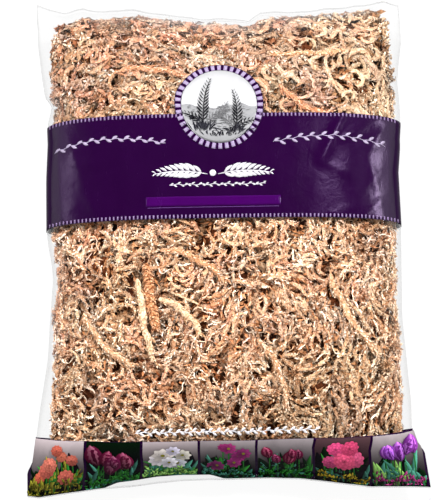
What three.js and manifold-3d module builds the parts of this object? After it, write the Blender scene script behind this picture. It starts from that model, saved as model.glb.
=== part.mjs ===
// A bag of dried sphagnum moss, lying on its back: a clear film pillow bag with a printed band, a round
// badge, a title bar and a printed strip along its bottom seal, packed with one tangled mass of moss stems.
// A few long pale stems lie in beds in the front of the mass, just under the film.
// Millimetres. X runs across the bag, Y from its bottom seal to its top seal, Z up out of the resting face.
import * as THREE from "three";
import Module from "manifold-3d";

const wasm = await Module();
wasm.setup();

// ---- driving dimensions ----
const BAG = {
  halfWidth: 105, // at mid height, where the fill draws the sides in
  bottomFlare: 14.5, // how much wider each side is at the bottom corners
  topFlare: 7.5,
  halfLength: 149, // to the outer edge of each seal, at the corners
  fillHalfLength: 144, // where front and back film meet
  sealPull: 8.7, // how far the fill draws the middle of each seal inwards
  crown: 48, // rise of the front above the seam
  belly: 31, // drop of the back below the seam, before the floor flattens it
  seamHeight: 26,
  sealDroop: 8, // how far the seals hang below the seam height
  sealHalfThickness: 0.7,
  wall: 0.6,
};
// Powers of the form's curves: a higher one stays flat for longer and then bends faster.
const CURVE = { front: 3.2, back: 4, seal: 8, fill: 3.6, fillEnd: 0.72, droop: 4, pull: 3, flare: 1.3 };
const FLARE_START = { bottom: 45, top: 60 }; // distances from mid height
const LAYER = { gap: 0.35, thickness: 0.5 }; // printed layers over the film, and over each other
const BAND = { low: 7, high: 69, floorLift: 1.1 };
const STRIP = { low: -148.4, high: -119 };
const BADGE = { x: -1.5, y: 74.2, radius: 25.6, sides: 24 };
const TITLE_BAR = { x: -6, y: 17, halfWidth: 38, halfHeight: 2.8, columns: 8 };
const VENT = { x: 62, y: 112, radius: 3, sides: 10, reach: 4 };
const MOSS = { halfWidth: 103.5, endShare: 0.972, skin: 1.6, coreInset: 7, lay: 3 };
const CORE = {
  rows: [-1, -0.9, -0.76, -0.6, -0.42, -0.22, 0, 0.22, 0.42, 0.6, 0.76, 0.9, 1], // shares of its half length
  endGap: 6,
  sideGap: 2,
  endTaper: 5, // how much narrower each side is at the ends
  lump: { height: 0.8, across: 9, along: 11, sway: 14 },
};
const STRANDS = {
  count: 150,
  radius: 3,
  length: [30, 48],
  steps: 5,
  rootInset: 10,
  endGap: 3,
  spacing: 13,
  backSpacing: 17.5,
  turn: 190, // the most that one bends in all, in degrees
  wobble: 22,
  seed: 71,
};
// Long stems on the front: where each starts (x, y), its heading in degrees, its length and its bend.
const STEMS = [
  { x: -50.5, y: -26, heading: -84, length: 50, bend: 12 },
  { x: -39, y: -38, heading: -20, length: 34, bend: -52 },
  { x: -38, y: -10, heading: -8, length: 44, bend: -46 },
  { x: -84, y: -44, heading: -62, length: 48, bend: 40 },
  { x: 34, y: 88, heading: -52, length: 42, bend: 50 },
  { x: 76, y: 112, heading: 188, length: 46, bend: -14 },
  { x: 62, y: -24, heading: -72, length: 58, bend: 34 },
  { x: 18, y: -62, heading: -50, length: 46, bend: -44 },
  { x: -66, y: 98, heading: 12, length: 44, bend: -40 },
];
const STEM = {
  radius: 1.6,
  tuftLength: 6,
  tuftRadius: 1,
  tuftLean: 43, // degrees between a tuft and the stem
  bedGap: 0.4,
  steps: 7,
  wobble: 8,
};

const SEAL_ROW = 143.4; // just inside the line where the seals begin
const LOWER_ROWS = [-139, -129, STRIP.high, -101, -82, -60, -38, -15, BAND.low];
const BODY_ROWS = [...LOWER_ROWS, 27, 48, BAND.high, 87, 104, 121, 132, 140];
const STRIP_ROWS = [STRIP.low, -SEAL_ROW, ...BODY_ROWS.filter((y) => y <= STRIP.high)];
const BAND_ROWS = BODY_ROWS.filter((y) => y >= BAND.low && y <= BAND.high);
const ACROSS_STEPS = 20; // front and back each

// ---- the bag's form, as formulas ----
const clamp01 = (value) => Math.min(1, Math.max(0, value));

function bagHalfWidth(y) {
  const { bottom: low, top: high } = FLARE_START;
  const bottom = Math.pow(clamp01((-y - low) / (BAG.halfLength - low)), CURVE.flare);
  const top = clamp01((y - high) / (BAG.halfLength - high));
  return BAG.halfWidth + BAG.bottomFlare * bottom + BAG.topFlare * top;
}

// How full the bag is at height y: 1 in the middle, 0 at the seals.
function fillShare(y) {
  const share = Math.min(1, Math.abs(y) / BAG.fillHalfLength);
  return Math.pow(1 - Math.pow(share, CURVE.fill), CURVE.fillEnd);
}

function seamHeight(y) {
  return BAG.seamHeight - BAG.sealDroop * Math.pow(Math.abs(y) / BAG.halfLength, CURVE.droop);
}

// The back is lifted a little where the band runs under it, so that the film meets the floor, not the band.
function floorHeight(y) {
  return y >= BAND.low && y <= BAND.high ? BAND.floorLift : 0;
}

const LEAST_HALF = 0.1; // keeps front and back apart where an inset would make them cross

// A point of the bag's wall. share is -1 to 1 across the width, side is 1 for the front and -1 for the back,
// and inset moves the point inwards from the film's outer face (a minus value lies outside it).
function wallPoint(share, y, side, inset, halfWidth = bagHalfWidth) {
  const width = Math.abs(share);
  const roundness = Math.sqrt(1 - Math.pow(width, side > 0 ? CURVE.front : CURVE.back));
  const rise = (side > 0 ? BAG.crown : BAG.belly) * fillShare(y) * roundness;
  const edge = Math.sqrt(1 - Math.pow(width, CURVE.seal));
  const between = Math.max(LEAST_HALF, BAG.sealHalfThickness * edge + rise - inset);
  const halfThickness = width < 1 ? between : 0;
  const pull = BAG.sealPull * (1 - share * share) * Math.pow(y / BAG.halfLength, CURVE.pull);
  const z = seamHeight(y) + side * halfThickness;
  return new THREE.Vector3(share * (halfWidth(y) - inset), y - pull, Math.max(z, floorHeight(y) + inset));
}

// One closed ring round the bag at height y: the front from left to right, then the back from right to left.
function ring(y, inset, halfWidth) {
  const points = [];
  for (let i = 0; i <= ACROSS_STEPS; i++) {
    points.push(wallPoint(acrossShare(i), y, 1, inset, halfWidth));
  }
  for (let i = ACROSS_STEPS - 1; i > 0; i--) {
    points.push(wallPoint(acrossShare(i), y, -1, inset, halfWidth));
  }
  return points;
}

function acrossShare(step) {
  if (step === 0 || step === ACROSS_STEPS) return step === 0 ? -1 : 1;
  return Math.sin(Math.PI * (step / ACROSS_STEPS - 0.5));
}

// ---- meshes and solids ----
function solid(points, faces) {
  const vertProperties = new Float32Array(points.flatMap((p) => [p.x, p.y, p.z]));
  const triVerts = new Uint32Array(faces.flat());
  return new wasm.Manifold(new wasm.Mesh({ numProp: 3, vertProperties, triVerts }));
}

function quad(a, b, c, d) {
  return [
    [a, b, c],
    [a, c, d],
  ];
}

// Side walls between rings that lie one above the other, facing outwards.
function wallFaces(ringCount, ringSize, start = 0, inward = false) {
  const faces = [];
  for (let row = 0; row + 1 < ringCount; row++) {
    for (let i = 0; i < ringSize; i++) {
      const next = (i + 1) % ringSize;
      const low = start + row * ringSize;
      const pair = quad(low + i, low + next, low + ringSize + next, low + ringSize + i);
      faces.push(...(inward ? pair.map((face) => face.reverse()) : pair));
    }
  }
  return faces;
}

// A closed pillow from rings that run up the bag. Each end is a flat lens, closed from front to back.
function pillow(rings) {
  const size = rings[0].length;
  const faces = wallFaces(rings.length, size);
  for (const [first, turned] of [
    [0, true],
    [(rings.length - 1) * size, false],
  ]) {
    for (let i = 0; i < size / 2; i++) {
      const far = (size - i) % size;
      const nearFar = size - i - 1;
      const corners = [first + i, first + i + 1, first + nearFar, first + far];
      const distinct = corners.filter((corner, k) => corners.indexOf(corner) === k);
      const cap = distinct.length === 4 ? quad(...distinct) : [distinct];
      faces.push(...cap.map((face) => (turned ? [...face].reverse() : face)));
    }
  }
  return solid(rings.flat(), faces);
}

// A sleeve round the bag, as a printed layer: an outer and an inner wall, joined at both ends.
function sleeve(rows, outerInset, innerInset) {
  const outer = rows.map((y) => ring(y, outerInset));
  const inner = rows.map((y) => ring(y, innerInset));
  const size = outer[0].length;
  const innerStart = rows.length * size;
  const faces = [...wallFaces(rows.length, size), ...wallFaces(rows.length, size, innerStart, true)];
  for (let i = 0; i < size; i++) {
    const next = (i + 1) % size;
    const top = (rows.length - 1) * size;
    faces.push(...quad(i, innerStart + i, innerStart + next, next));
    faces.push(...quad(top + i, top + next, innerStart + top + next, innerStart + top + i));
  }
  return solid([...outer, ...inner].flat(), faces);
}

// A thin plate that follows the front. outlines holds its rings of [x, y] points, from the middle outwards.
function frontPlate(middle, outlines, innerInset) {
  const outerInset = innerInset - LAYER.thickness;
  const flat = [middle, ...outlines.flat()];
  const lift = (inset) => flat.map(([x, y]) => wallPoint(x / bagHalfWidth(y), y, 1, inset));
  const size = outlines[0].length;
  const count = flat.length;
  const faces = [];
  for (let i = 0; i < size; i++) {
    const next = (i + 1) % size;
    faces.push([0, 1 + i, 1 + next], [count, count + 1 + next, count + 1 + i]);
    for (let k = 0; k + 1 < outlines.length; k++) {
      const a = 1 + k * size;
      faces.push(...quad(a + i, a + size + i, a + size + next, a + next));
      faces.push(...quad(count + a + i, count + a + next, count + a + size + next, count + a + size + i));
    }
    const rim = 1 + (outlines.length - 1) * size;
    faces.push(...quad(rim + i, count + rim + i, count + rim + next, rim + next));
  }
  return solid([...lift(outerInset), ...lift(innerInset)], faces);
}

// A round rod through centres, with a radius at each, a few flat sides and a point at each end.
function rod(centres, radii, sides, ups) {
  const points = [centres[0]];
  const faces = [];
  const last = centres.length - 1;
  for (let k = 1; k < last; k++) {
    const along = centres[k + 1].clone().sub(centres[k - 1]).normalize();
    const up = ups[k].clone().addScaledVector(along, -ups[k].dot(along)).normalize();
    const across = along.clone().cross(up);
    for (let i = 0; i < sides; i++) {
      const angle = (2 * Math.PI * i) / sides;
      const point = centres[k].clone().addScaledVector(up, radii[k] * Math.cos(angle));
      points.push(point.addScaledVector(across, radii[k] * Math.sin(angle)));
    }
  }
  points.push(centres[last]);
  const end = points.length - 1;
  for (let i = 0; i < sides; i++) {
    const next = (i + 1) % sides;
    faces.push([0, 1 + next, 1 + i]);
    for (let k = 0; k + 2 < last; k++) {
      const a = 1 + k * sides;
      faces.push(...quad(a + i, a + next, a + sides + next, a + sides + i));
    }
    const top = 1 + (last - 2) * sides;
    faces.push([end, top + i, top + next]);
  }
  return solid(points, faces);
}

// The largest body of a solid: what the beds cut loose is dropped.
function withoutScraps(made) {
  return made.decompose().reduce((largest, body) => (body.volume() > largest.volume() ? body : largest));
}

function joined(solids) {
  if (solids.length === 1) return solids[0];
  const half = Math.ceil(solids.length / 2);
  return joined(solids.slice(0, half)).add(joined(solids.slice(half)));
}

// ---- moss ----
function mossHalfWidth(y) {
  return Math.min(bagHalfWidth(y), MOSS.halfWidth);
}

// A point of the moss at an angle round the bag: -90 to 90 degrees is the front from left to right, and the
// rest is the back. Where the bag closes steeply the inset grows, so that it stays true across the wall.
function mossPoint(angle, y, inset) {
  const side = Math.cos(angle) >= 0 ? 1 : -1;
  const share = Math.max(-0.9999, Math.min(0.9999, Math.sin(angle)));
  const slope = wallPoint(share, y + 1, side, 0).z - wallPoint(share, y, side, 0).z;
  const steepInset = inset * Math.sqrt(1 + slope * slope);
  const point = wallPoint(share, y, side, steepInset, mossHalfWidth);
  return point.setZ(Math.max(point.z, BAND.floorLift + inset));
}

const PROBE = { angle: 0.02, y: 0.5 }; // small steps that measure how the moss's surface runs

function mossNormal(angle, y) {
  const here = mossPoint(angle, y, MOSS.coreInset);
  const round = mossPoint(angle + PROBE.angle, y, MOSS.coreInset).sub(here);
  const along = mossPoint(angle, y + PROBE.y, MOSS.coreInset).sub(here);
  return round.cross(along).normalize();
}

// Walks over the moss from (angle, y), turning by bend degrees in all, and returns the angle and y of each
// step. Near the seams, where an angle spans little width, a step turns by no more than 12 mm to a radian.
function walk(start, heading, length, steps, bend, wobble) {
  const path = [start];
  const stride = length / steps;
  for (let k = 0; k < steps; k++) {
    const { angle, y } = path[k];
    const turn = THREE.MathUtils.degToRad(heading + (bend * k) / steps + wobble * Math.sin(k * 1.9));
    const here = mossPoint(angle, y, MOSS.lay);
    const round = mossPoint(angle + PROBE.angle, y, MOSS.lay).distanceTo(here);
    const along = mossPoint(angle, y + PROBE.y, MOSS.lay).distanceTo(here);
    const perRadian = Math.max(12, round / PROBE.angle);
    const perHeight = Math.max(1, along / PROBE.y);
    path.push({
      angle: angle + (stride * Math.cos(turn)) / perRadian,
      y: y + (stride * Math.sin(turn)) / perHeight,
    });
  }
  return path;
}

function seededRandom(seed) {
  let state = seed;
  return () => {
    state = (state * 1664525 + 1013904223) % 4294967296;
    return state / 4294967296;
  };
}

// The middle of the mass, which the strands grow out of. Its surface has the broad lumps of wads of moss.
function mossCore() {
  const end = BAG.fillHalfLength * MOSS.endShare - CORE.endGap;
  const { height, across, along, sway } = CORE.lump;
  const swayed = ({ x, y }) => x / across + 1.3 * Math.sin(y / sway);
  const lump = (point) => height * Math.sin(swayed(point)) * Math.cos(point.y / along + 0.7);
  const rings = CORE.rows.map((share) => {
    const y = share * end;
    const taper = CORE.sideGap + CORE.endTaper * Math.pow(share, 8);
    return ring(y, MOSS.coreInset + height, (at) => mossHalfWidth(at) - taper).map((point) => {
      const raised = point.z > seamHeight(y) ? lump(point) : 0;
      return point.setZ(point.z + raised * fillShare(y));
    });
  });
  return pillow(rings);
}

// One strand: a three-sided rod that comes out of the core, lies over it under the film, and goes back in.
function strand(path, radius) {
  const last = path.length - 1;
  const centres = [];
  const radii = [];
  const ups = [];
  path.forEach(({ angle, y }, k) => {
    const out = Math.sin((Math.PI * k) / last);
    const knuckle = k % 2 ? 1.12 : 0.92;
    const size = radius * (0.55 + 0.45 * out) * knuckle;
    const inset = k === 0 || k === last ? STRANDS.rootInset : MOSS.skin + size + 1.2 * (1 - out);
    centres.push(mossPoint(angle, y, inset));
    radii.push(size);
    ups.push(mossNormal(angle, y));
  });
  return rod(centres, radii, 3, ups);
}

// Strands at random places and headings, each kept if it is clear of the moss's ends, of the line where its
// angle starts over and of the middles of those before it. The thin sides get fewer.
function mossStrands() {
  const random = seededRandom(STRANDS.seed);
  const strands = [];
  const middles = [];
  const limit = BAG.fillHalfLength * MOSS.endShare - STRANDS.endGap;
  const [shortest, longest] = STRANDS.length;
  for (let tries = 0; strands.length < STRANDS.count && tries < 9000; tries++) {
    const start = { angle: -Math.PI / 2 + random() * 2 * Math.PI, y: (2 * random() - 1) * limit };
    const length = shortest + random() * (longest - shortest);
    const bend = (random() - 0.5) * STRANDS.turn;
    const path = walk(start, random() * 360, length, STRANDS.steps, bend, STRANDS.wobble);
    const chance = random();
    const radius = STRANDS.radius * (0.82 + 0.3 * random());
    const pastEnd = path.some(({ y }) => Math.abs(y) > limit);
    const acrossStart = path.some(({ angle }) => Math.abs(Math.abs(angle - Math.PI / 2) - Math.PI) < 0.02);
    const middle = path[Math.floor(STRANDS.steps / 2)];
    const place = mossPoint(middle.angle, middle.y, MOSS.lay);
    const reach = Math.cos(start.angle) < 0 ? STRANDS.backSpacing : STRANDS.spacing;
    const crowded = middles.some((other) => other.distanceTo(place) < reach);
    const thinned = Math.abs(Math.sin(start.angle)) > 0.93 && chance > 0.6;
    if (pastEnd || acrossStart || crowded || thinned) continue;
    middles.push(place);
    strands.push(strand(path, radius));
  }
  return strands;
}

// One long stem: a slim axis with short tufts of branches leaning along it on both sides.
function stem(place, grow) {
  const start = { angle: Math.asin(place.x / mossHalfWidth(place.y)), y: place.y };
  const path = walk(start, place.heading, place.length, STEM.steps, place.bend, STEM.wobble);
  const radius = STEM.radius + grow;
  const centres = path.map(({ angle, y }) => mossPoint(angle, y, MOSS.skin + STEM.radius));
  const ups = path.map(({ angle, y }) => mossNormal(angle, y));
  const radii = path.map((_, k) => radius * (k % 2 ? 1.1 : 0.9));
  const lean = THREE.MathUtils.degToRad(STEM.tuftLean);
  const reach = STEM.tuftLength + grow * 2;
  const pieces = [rod(centres, radii, 4, ups)];
  for (let k = 1; k + 1 < centres.length; k++) {
    const side = k % 2 ? 1 : -1;
    const along = centres[k + 1].clone().sub(centres[k]).normalize();
    const across = along.clone().cross(ups[k]).normalize();
    const tip = centres[k].clone().addScaledVector(along, reach * Math.cos(lean));
    tip.addScaledVector(across, side * reach * Math.sin(lean));
    const belly = centres[k].clone().lerp(tip, 0.5);
    pieces.push(rod([centres[k], belly, tip], [0, STEM.tuftRadius + grow, 0], 4, [ups[k], ups[k], ups[k]]));
  }
  return joined(pieces);
}

// ---- the bag and its print ----
function filmBag() {
  const outerRows = [-BAG.halfLength, -SEAL_ROW, ...BODY_ROWS, SEAL_ROW, BAG.halfLength];
  const outer = pillow(outerRows.map((y) => ring(y, 0)));
  const cavity = pillow(BODY_ROWS.map((y) => ring(y, BAG.wall)));
  return outer.subtract(cavity).subtract(ventPunch());
}

// The punch for the vent hole near the top seal: a short upright prism through the back wall alone.
function ventPunch() {
  const wallZ = wallPoint(VENT.x / bagHalfWidth(VENT.y), VENT.y, -1, 0).z;
  const { sides, radius, reach } = VENT;
  const outline = circle(VENT.x, VENT.y, radius, sides);
  const atHeight = (z) => outline.map(([x, y]) => new THREE.Vector3(x, y, z));
  const points = [...atHeight(wallZ - reach), ...atHeight(wallZ + reach)];
  const faces = wallFaces(2, sides);
  for (let i = 1; i + 1 < sides; i++) {
    faces.push([0, i + 1, i], [sides, sides + i, sides + i + 1]);
  }
  return solid(points, faces);
}

function circle(x, y, radius, sides) {
  return Array.from({ length: sides }, (_, i) => {
    const angle = (2 * Math.PI * i) / sides;
    return [x + radius * Math.cos(angle), y + radius * Math.sin(angle)];
  });
}

function printedBand() {
  return sleeve(BAND_ROWS, -LAYER.gap - LAYER.thickness, -LAYER.gap);
}

function printedStrip() {
  return sleeve(STRIP_ROWS, -LAYER.gap - LAYER.thickness, -LAYER.gap);
}

const SECOND_LAYER = -2 * LAYER.gap - LAYER.thickness;

function badge() {
  const { x, y, radius, sides } = BADGE;
  const rings = [0.5, 1].map((share) => circle(x, y, share * radius, sides));
  return frontPlate([x, y], rings, SECOND_LAYER);
}

function titleBar() {
  const { x, y, halfWidth, halfHeight, columns } = TITLE_BAR;
  const spans = Array.from({ length: columns + 1 }, (_, i) => (2 * i) / columns - 1);
  const corners = [...spans.map((across) => [across, -1]), ...spans.reverse().map((across) => [across, 1])];
  const rings = [1 / 3, 2 / 3, 1].map((share) =>
    corners.map(([across, up]) => [x + share * halfWidth * across, y + share * halfHeight * up]),
  );
  return frontPlate([x, y], rings, SECOND_LAYER);
}

// ---- the finished group ----
const FINISH = {
  film: { color: 0xeef2f4, roughness: 0.12, metalness: 0, transparent: true, opacity: 0.25 },
  band: { color: 0x2a0a4a, roughness: 0.25, metalness: 0 },
  badge: { color: 0xeceaee, roughness: 0.3, metalness: 0 },
  titleBar: { color: 0x4f0f80, roughness: 0.3, metalness: 0 },
  strip: { color: 0x4c6b3c, roughness: 0.3, metalness: 0 },
  moss: { color: 0xc9a27a, roughness: 0.95, metalness: 0 },
  paleMoss: { color: 0xe6d2ae, roughness: 0.9, metalness: 0 },
};

function node(name, made, finish) {
  const { vertProperties, triVerts } = made.getMesh();
  const geometry = new THREE.BufferGeometry();
  geometry.setAttribute("position", new THREE.BufferAttribute(new Float32Array(vertProperties), 3));
  geometry.setIndex(new THREE.BufferAttribute(new Uint32Array(triVerts), 1));
  geometry.computeVertexNormals();
  const mesh = new THREE.Mesh(geometry, new THREE.MeshStandardMaterial(finish));
  mesh.name = name;
  return mesh;
}

const part = new THREE.Group();
part.add(node("film_bag", filmBag(), FINISH.film));
part.add(node("printed_band", printedBand(), FINISH.band));
part.add(node("badge", badge(), FINISH.badge));
part.add(node("title_bar", titleBar(), FINISH.titleBar));
part.add(node("printed_strip", printedStrip(), FINISH.strip));

const beds = STEMS.map((place) => stem(place, STEM.bedGap));
const mass = joined([mossCore(), ...mossStrands()]).subtract(joined(beds));
part.add(node("moss_mass", withoutScraps(mass), FINISH.moss));
STEMS.forEach((place, i) => {
  part.add(node(`moss_stem_${i + 1}`, stem(place, 0), FINISH.paleMoss));
});

export default part;
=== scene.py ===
# Dried moss in a clear film bag that lies on its back: the film, its print and the tangle of stems inside.
# Shapes are worked out in millimetres, with +Z up, and go into their meshes in metres.
import math

import bmesh
import bpy
import numpy as np
from mathutils import Matrix, Vector


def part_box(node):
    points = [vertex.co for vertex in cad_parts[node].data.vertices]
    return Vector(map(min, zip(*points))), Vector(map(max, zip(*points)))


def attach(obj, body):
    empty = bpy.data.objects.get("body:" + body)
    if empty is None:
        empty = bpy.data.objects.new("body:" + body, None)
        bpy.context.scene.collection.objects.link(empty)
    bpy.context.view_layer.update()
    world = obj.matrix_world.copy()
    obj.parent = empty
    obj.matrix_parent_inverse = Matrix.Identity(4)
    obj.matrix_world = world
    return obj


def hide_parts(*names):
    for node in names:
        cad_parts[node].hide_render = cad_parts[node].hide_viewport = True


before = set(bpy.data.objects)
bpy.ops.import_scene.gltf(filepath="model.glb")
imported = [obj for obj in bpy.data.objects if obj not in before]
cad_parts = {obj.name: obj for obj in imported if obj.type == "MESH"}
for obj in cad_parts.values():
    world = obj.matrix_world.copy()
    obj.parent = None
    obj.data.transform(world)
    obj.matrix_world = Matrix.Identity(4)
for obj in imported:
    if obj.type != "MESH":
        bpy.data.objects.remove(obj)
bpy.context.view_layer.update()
mm = 0.001
print("frame:", len(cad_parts), "nodes")


def nodeBox(node):
    low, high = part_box(node)
    return np.array(low) / mm, np.array(high) / mm


def newObject(name, data):
    made = bpy.data.objects.new(name, data)
    bpy.context.scene.collection.objects.link(made)
    return made


def ramped(value, start, length):
    # 0 up to start, then rising evenly to 1 over the length
    return np.clip((value - start) / length, 0, 1)


def between(table, position):
    # straight between the listed places
    return np.interp(position, *np.array(table, dtype=float).T)


def unit(vectors):
    return vectors / np.maximum(np.linalg.norm(vectors, axis=-1, keepdims=True), 1e-9)


# the camera and the lamps

view = {
    "elevation": 83,  # degrees above the floor, from the side of the bottom seal
    "roll": 0.9,  # degrees
    "distance": 850,
    "lens": 102,
    "sensor": 36,
    "aim": (-5.2, -5.2, 26),
}


def addCamera():
    # the camera looks from its place on a circle round the aim, then turns a little about its own axis
    tilt = math.radians(view["elevation"])
    aim = Vector(view["aim"])
    back = Vector((0, -math.cos(tilt), math.sin(tilt)))
    right = Vector((1, 0, 0))
    up = back.cross(right)
    roll = math.radians(view["roll"])
    turnedUp = up * math.cos(roll) + right * math.sin(roll)
    turnedRight = right * math.cos(roll) - up * math.sin(roll)
    place = (aim + back * view["distance"]) * mm
    rotation = Matrix((turnedRight, turnedUp, back)).transposed().to_4x4()
    data = bpy.data.cameras.new("camera")
    data.lens = view["lens"]
    data.sensor_fit = "VERTICAL"
    data.sensor_height = view["sensor"]
    camera = newObject("camera", data)
    camera.matrix_world = Matrix.Translation(place) @ rotation
    bpy.context.scene.camera = camera


studio = {
    # sine of the elevation -> radiance: white walls round the table and a dark ceiling over it
    "surround": [(0.0, 0.4), (0.4, 0.4), (0.68, 0.05), (1.0, 0.02)],
    "blueness": 1.02,
    "lamps": [  # name, place, aim, width, height, watts, seen in gloss
        ("leftKey", (-520, 560, 1000), (0, 0, 20), 110, 110, 26.0, False),
        ("rightKey", (600, 380, 1000), (0, 0, 20), 110, 110, 16.5, False),
        ("fillLamp", (0, 0, 1500), (0, 0, 0), 2400, 2400, 25.0, False),
        ("rightCard", (950, 190, 190), (80, 40, 40), 160, 260, 2.6, True),
        ("sheenCard", (640, 400, 900), (60, 50, 60), 180, 360, 4.0, True),
        ("leftCard", (-950, 205, 170), (-80, 40, 40), 160, 200, 0.4, True),
    ],
    "floorGlow": 0.93,  # the table is lit from below, so that shadows on it stay faint
    "floorGrey": 0.06,
    "floorReach": 3000,
    "floorDrop": 0.3,  # the gap between the table and the bag
}


def fillRamp(ramp, stops):
    # stops are (position, colour); a plain number is a grey
    elements = ramp.color_ramp.elements
    while len(elements) < len(stops):
        elements.new(0.5)
    for element, (position, colour) in zip(elements, stops):
        element.position = position
        element.color = (*(colour if isinstance(colour, tuple) else (colour,) * 3), 1)


def addLights():
    for name, place, aim, width, height, watts, seen in studio["lamps"]:
        data = bpy.data.lights.new(name, "AREA")
        data.shape = "RECTANGLE"
        data.size = width * mm
        data.size_y = height * mm
        data.energy = watts
        lamp = newObject(name, data)
        toAim = (Vector(aim) - Vector(place)).to_track_quat("-Z", "Y").to_matrix().to_4x4()
        lamp.matrix_world = Matrix.Translation(Vector(place) * mm) @ toAim
        lamp.visible_glossy = seen
        lamp.visible_camera = False
    world = bpy.data.worlds.new("studio")
    world.use_nodes = True
    tree = world.node_tree
    split = tree.nodes.new("ShaderNodeSeparateXYZ")
    ramp = tree.nodes.new("ShaderNodeValToRGB")
    tree.links.new(tree.nodes.new("ShaderNodeTexCoord").outputs["Generated"], split.inputs[0])
    tree.links.new(split.outputs["Z"], ramp.inputs["Fac"])
    tree.links.new(ramp.outputs["Color"], tree.nodes["Background"].inputs["Color"])
    blue = studio["blueness"]
    fillRamp(ramp, [(height, (grey, grey, grey * blue)) for height, grey in studio["surround"]])
    bpy.context.scene.world = world
    bpy.context.scene.view_settings.view_transform = "Standard"


# the materials


def setSocket(target, value):
    # a colour may be given without its alpha, or as one grey
    if target.type == "RGBA":
        value = (*value, 1) if isinstance(value, tuple) else (value, value, value, 1)
    target.default_value = value


class Finish:
    # a new material with short calls for its nodes; a link is given as a node's output
    def __init__(self, name, **settings):
        self.material = bpy.data.materials.new(name)
        self.material.use_nodes = True
        self.tree = self.material.node_tree
        self.shader = self.tree.nodes["Principled BSDF"]
        self.output = self.tree.nodes["Material Output"]
        for key, value in settings.items():
            setSocket(self.shader.inputs[key.replace("_", " ")], value)

    def add(self, kind, sockets, **options):
        made = self.tree.nodes.new(kind)
        for key, value in options.items():
            setattr(made, key, value)
        for key, value in sockets.items():
            if isinstance(value, bpy.types.NodeSocket):
                self.tree.links.new(value, made.inputs[key])
            else:
                setSocket(made.inputs[key], value)
        return made

    def drive(self, name, output):
        self.tree.links.new(output, self.shader.inputs[name])

    def noise(self, size, detail, rough, stretch=None, distort=0.0):
        # noise whose features are about size millimetres across, stretched along an axis if asked
        point = self.add("ShaderNodeTexCoord", {}).outputs["Object"]
        if stretch:
            point = self.add("ShaderNodeMapping", {"Vector": point, "Scale": stretch}).outputs["Vector"]
        sockets = {"Vector": point, "Scale": 1 / (size * mm), "Detail": detail, "Roughness": rough}
        sockets["Distortion"] = distort
        return self.add("ShaderNodeTexNoise", sockets).outputs["Fac"]

    def ramp(self, fac, stops):
        node = self.add("ShaderNodeValToRGB", {"Fac": fac})
        fillRamp(node, stops)
        return node.outputs["Color"]

    def mix(self, fac, first, second, blend="MIX"):
        sockets = {0: fac, 6: first, 7: second}
        return self.add("ShaderNodeMix", sockets, data_type="RGBA", blend_type=blend).outputs[2]

    def bump(self, height, strength, distance):
        sockets = {"Height": height, "Strength": strength, "Distance": distance * mm}
        return self.add("ShaderNodeBump", sockets).outputs["Normal"]

    def crinkles(self, strength, distance):
        # the fine creases of film, about 9 mm from one to the next
        return self.bump(self.noise(9, 4, 0.6, distort=1.2), strength, distance)

    def facing(self, **sockets):
        # 0 where the surface is seen straight on, rising to 1 at its edge
        return self.add("ShaderNodeLayerWeight", {"Blend": 0.5, **sockets}).outputs["Facing"]

    def tint(self):
        return self.add("ShaderNodeAttribute", {}, attribute_name="tint").outputs["Color"]


filmLook = {
    "crinkles": (0.3, 0.4),
    "clear": [(0.0, 0.955), (0.5, 0.94), (0.85, 0.82), (1.0, 0.45)],  # facing -> the light that passes
    "haze": [(0.45, 0.0), (0.85, 0.0015)],
    "milk": (0.95, 0.95, 0.96),
    "roughness": 0.1,
    "glossPower": 5.0,
    "glossGain": 0.85,
    "glossBase": 0.003,
}


def filmFinish():
    # clear film: see-through with a faint milky haze, and a gloss that is base + gain x facing^power
    finish = Finish("clearFilm")
    crinkle = finish.crinkles(*filmLook["crinkles"])
    passed = finish.ramp(finish.facing(), filmLook["clear"])
    clear = finish.add("ShaderNodeBsdfTransparent", {"Color": passed})
    shiny = {"Color": 1.0, "Roughness": filmLook["roughness"], "Normal": crinkle}
    gloss = finish.add("ShaderNodeBsdfGlossy", shiny)
    milk = finish.add("ShaderNodeBsdfDiffuse", {"Color": filmLook["milk"]})
    haze = finish.ramp(finish.noise(28, 3, 0.6), filmLook["haze"])
    hazy = finish.add("ShaderNodeMixShader", {0: haze, 1: clear.outputs[0], 2: milk.outputs[0]})
    powered = {0: finish.facing(Normal=crinkle), 1: filmLook["glossPower"]}
    steep = finish.add("ShaderNodeMath", powered, operation="POWER").outputs[0]
    scaled = {0: steep, 1: filmLook["glossGain"], 2: filmLook["glossBase"]}
    share = finish.add("ShaderNodeMath", scaled, operation="MULTIPLY_ADD").outputs[0]
    glossy = finish.add("ShaderNodeMixShader", {0: share, 1: hazy.outputs[0], 2: gloss.outputs[0]})
    finish.tree.links.new(glossy.outputs[0], finish.output.inputs["Surface"])
    finish.tree.nodes.remove(finish.shader)
    return finish.material


inkLook = {
    "glossTint": (0.78, 0.5, 1.0),
    "cloud": [(0.3, 0.86), (0.7, 1.0)],
    "smear": (0.3, 0.75),  # the noise values where the gloss is sharpest and dullest
    "crinkles": (0.35, 0.5),
    "fade": (0.36, 0.62),  # facing values between which the gloss fades
    "faded": 0.01,
}


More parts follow.
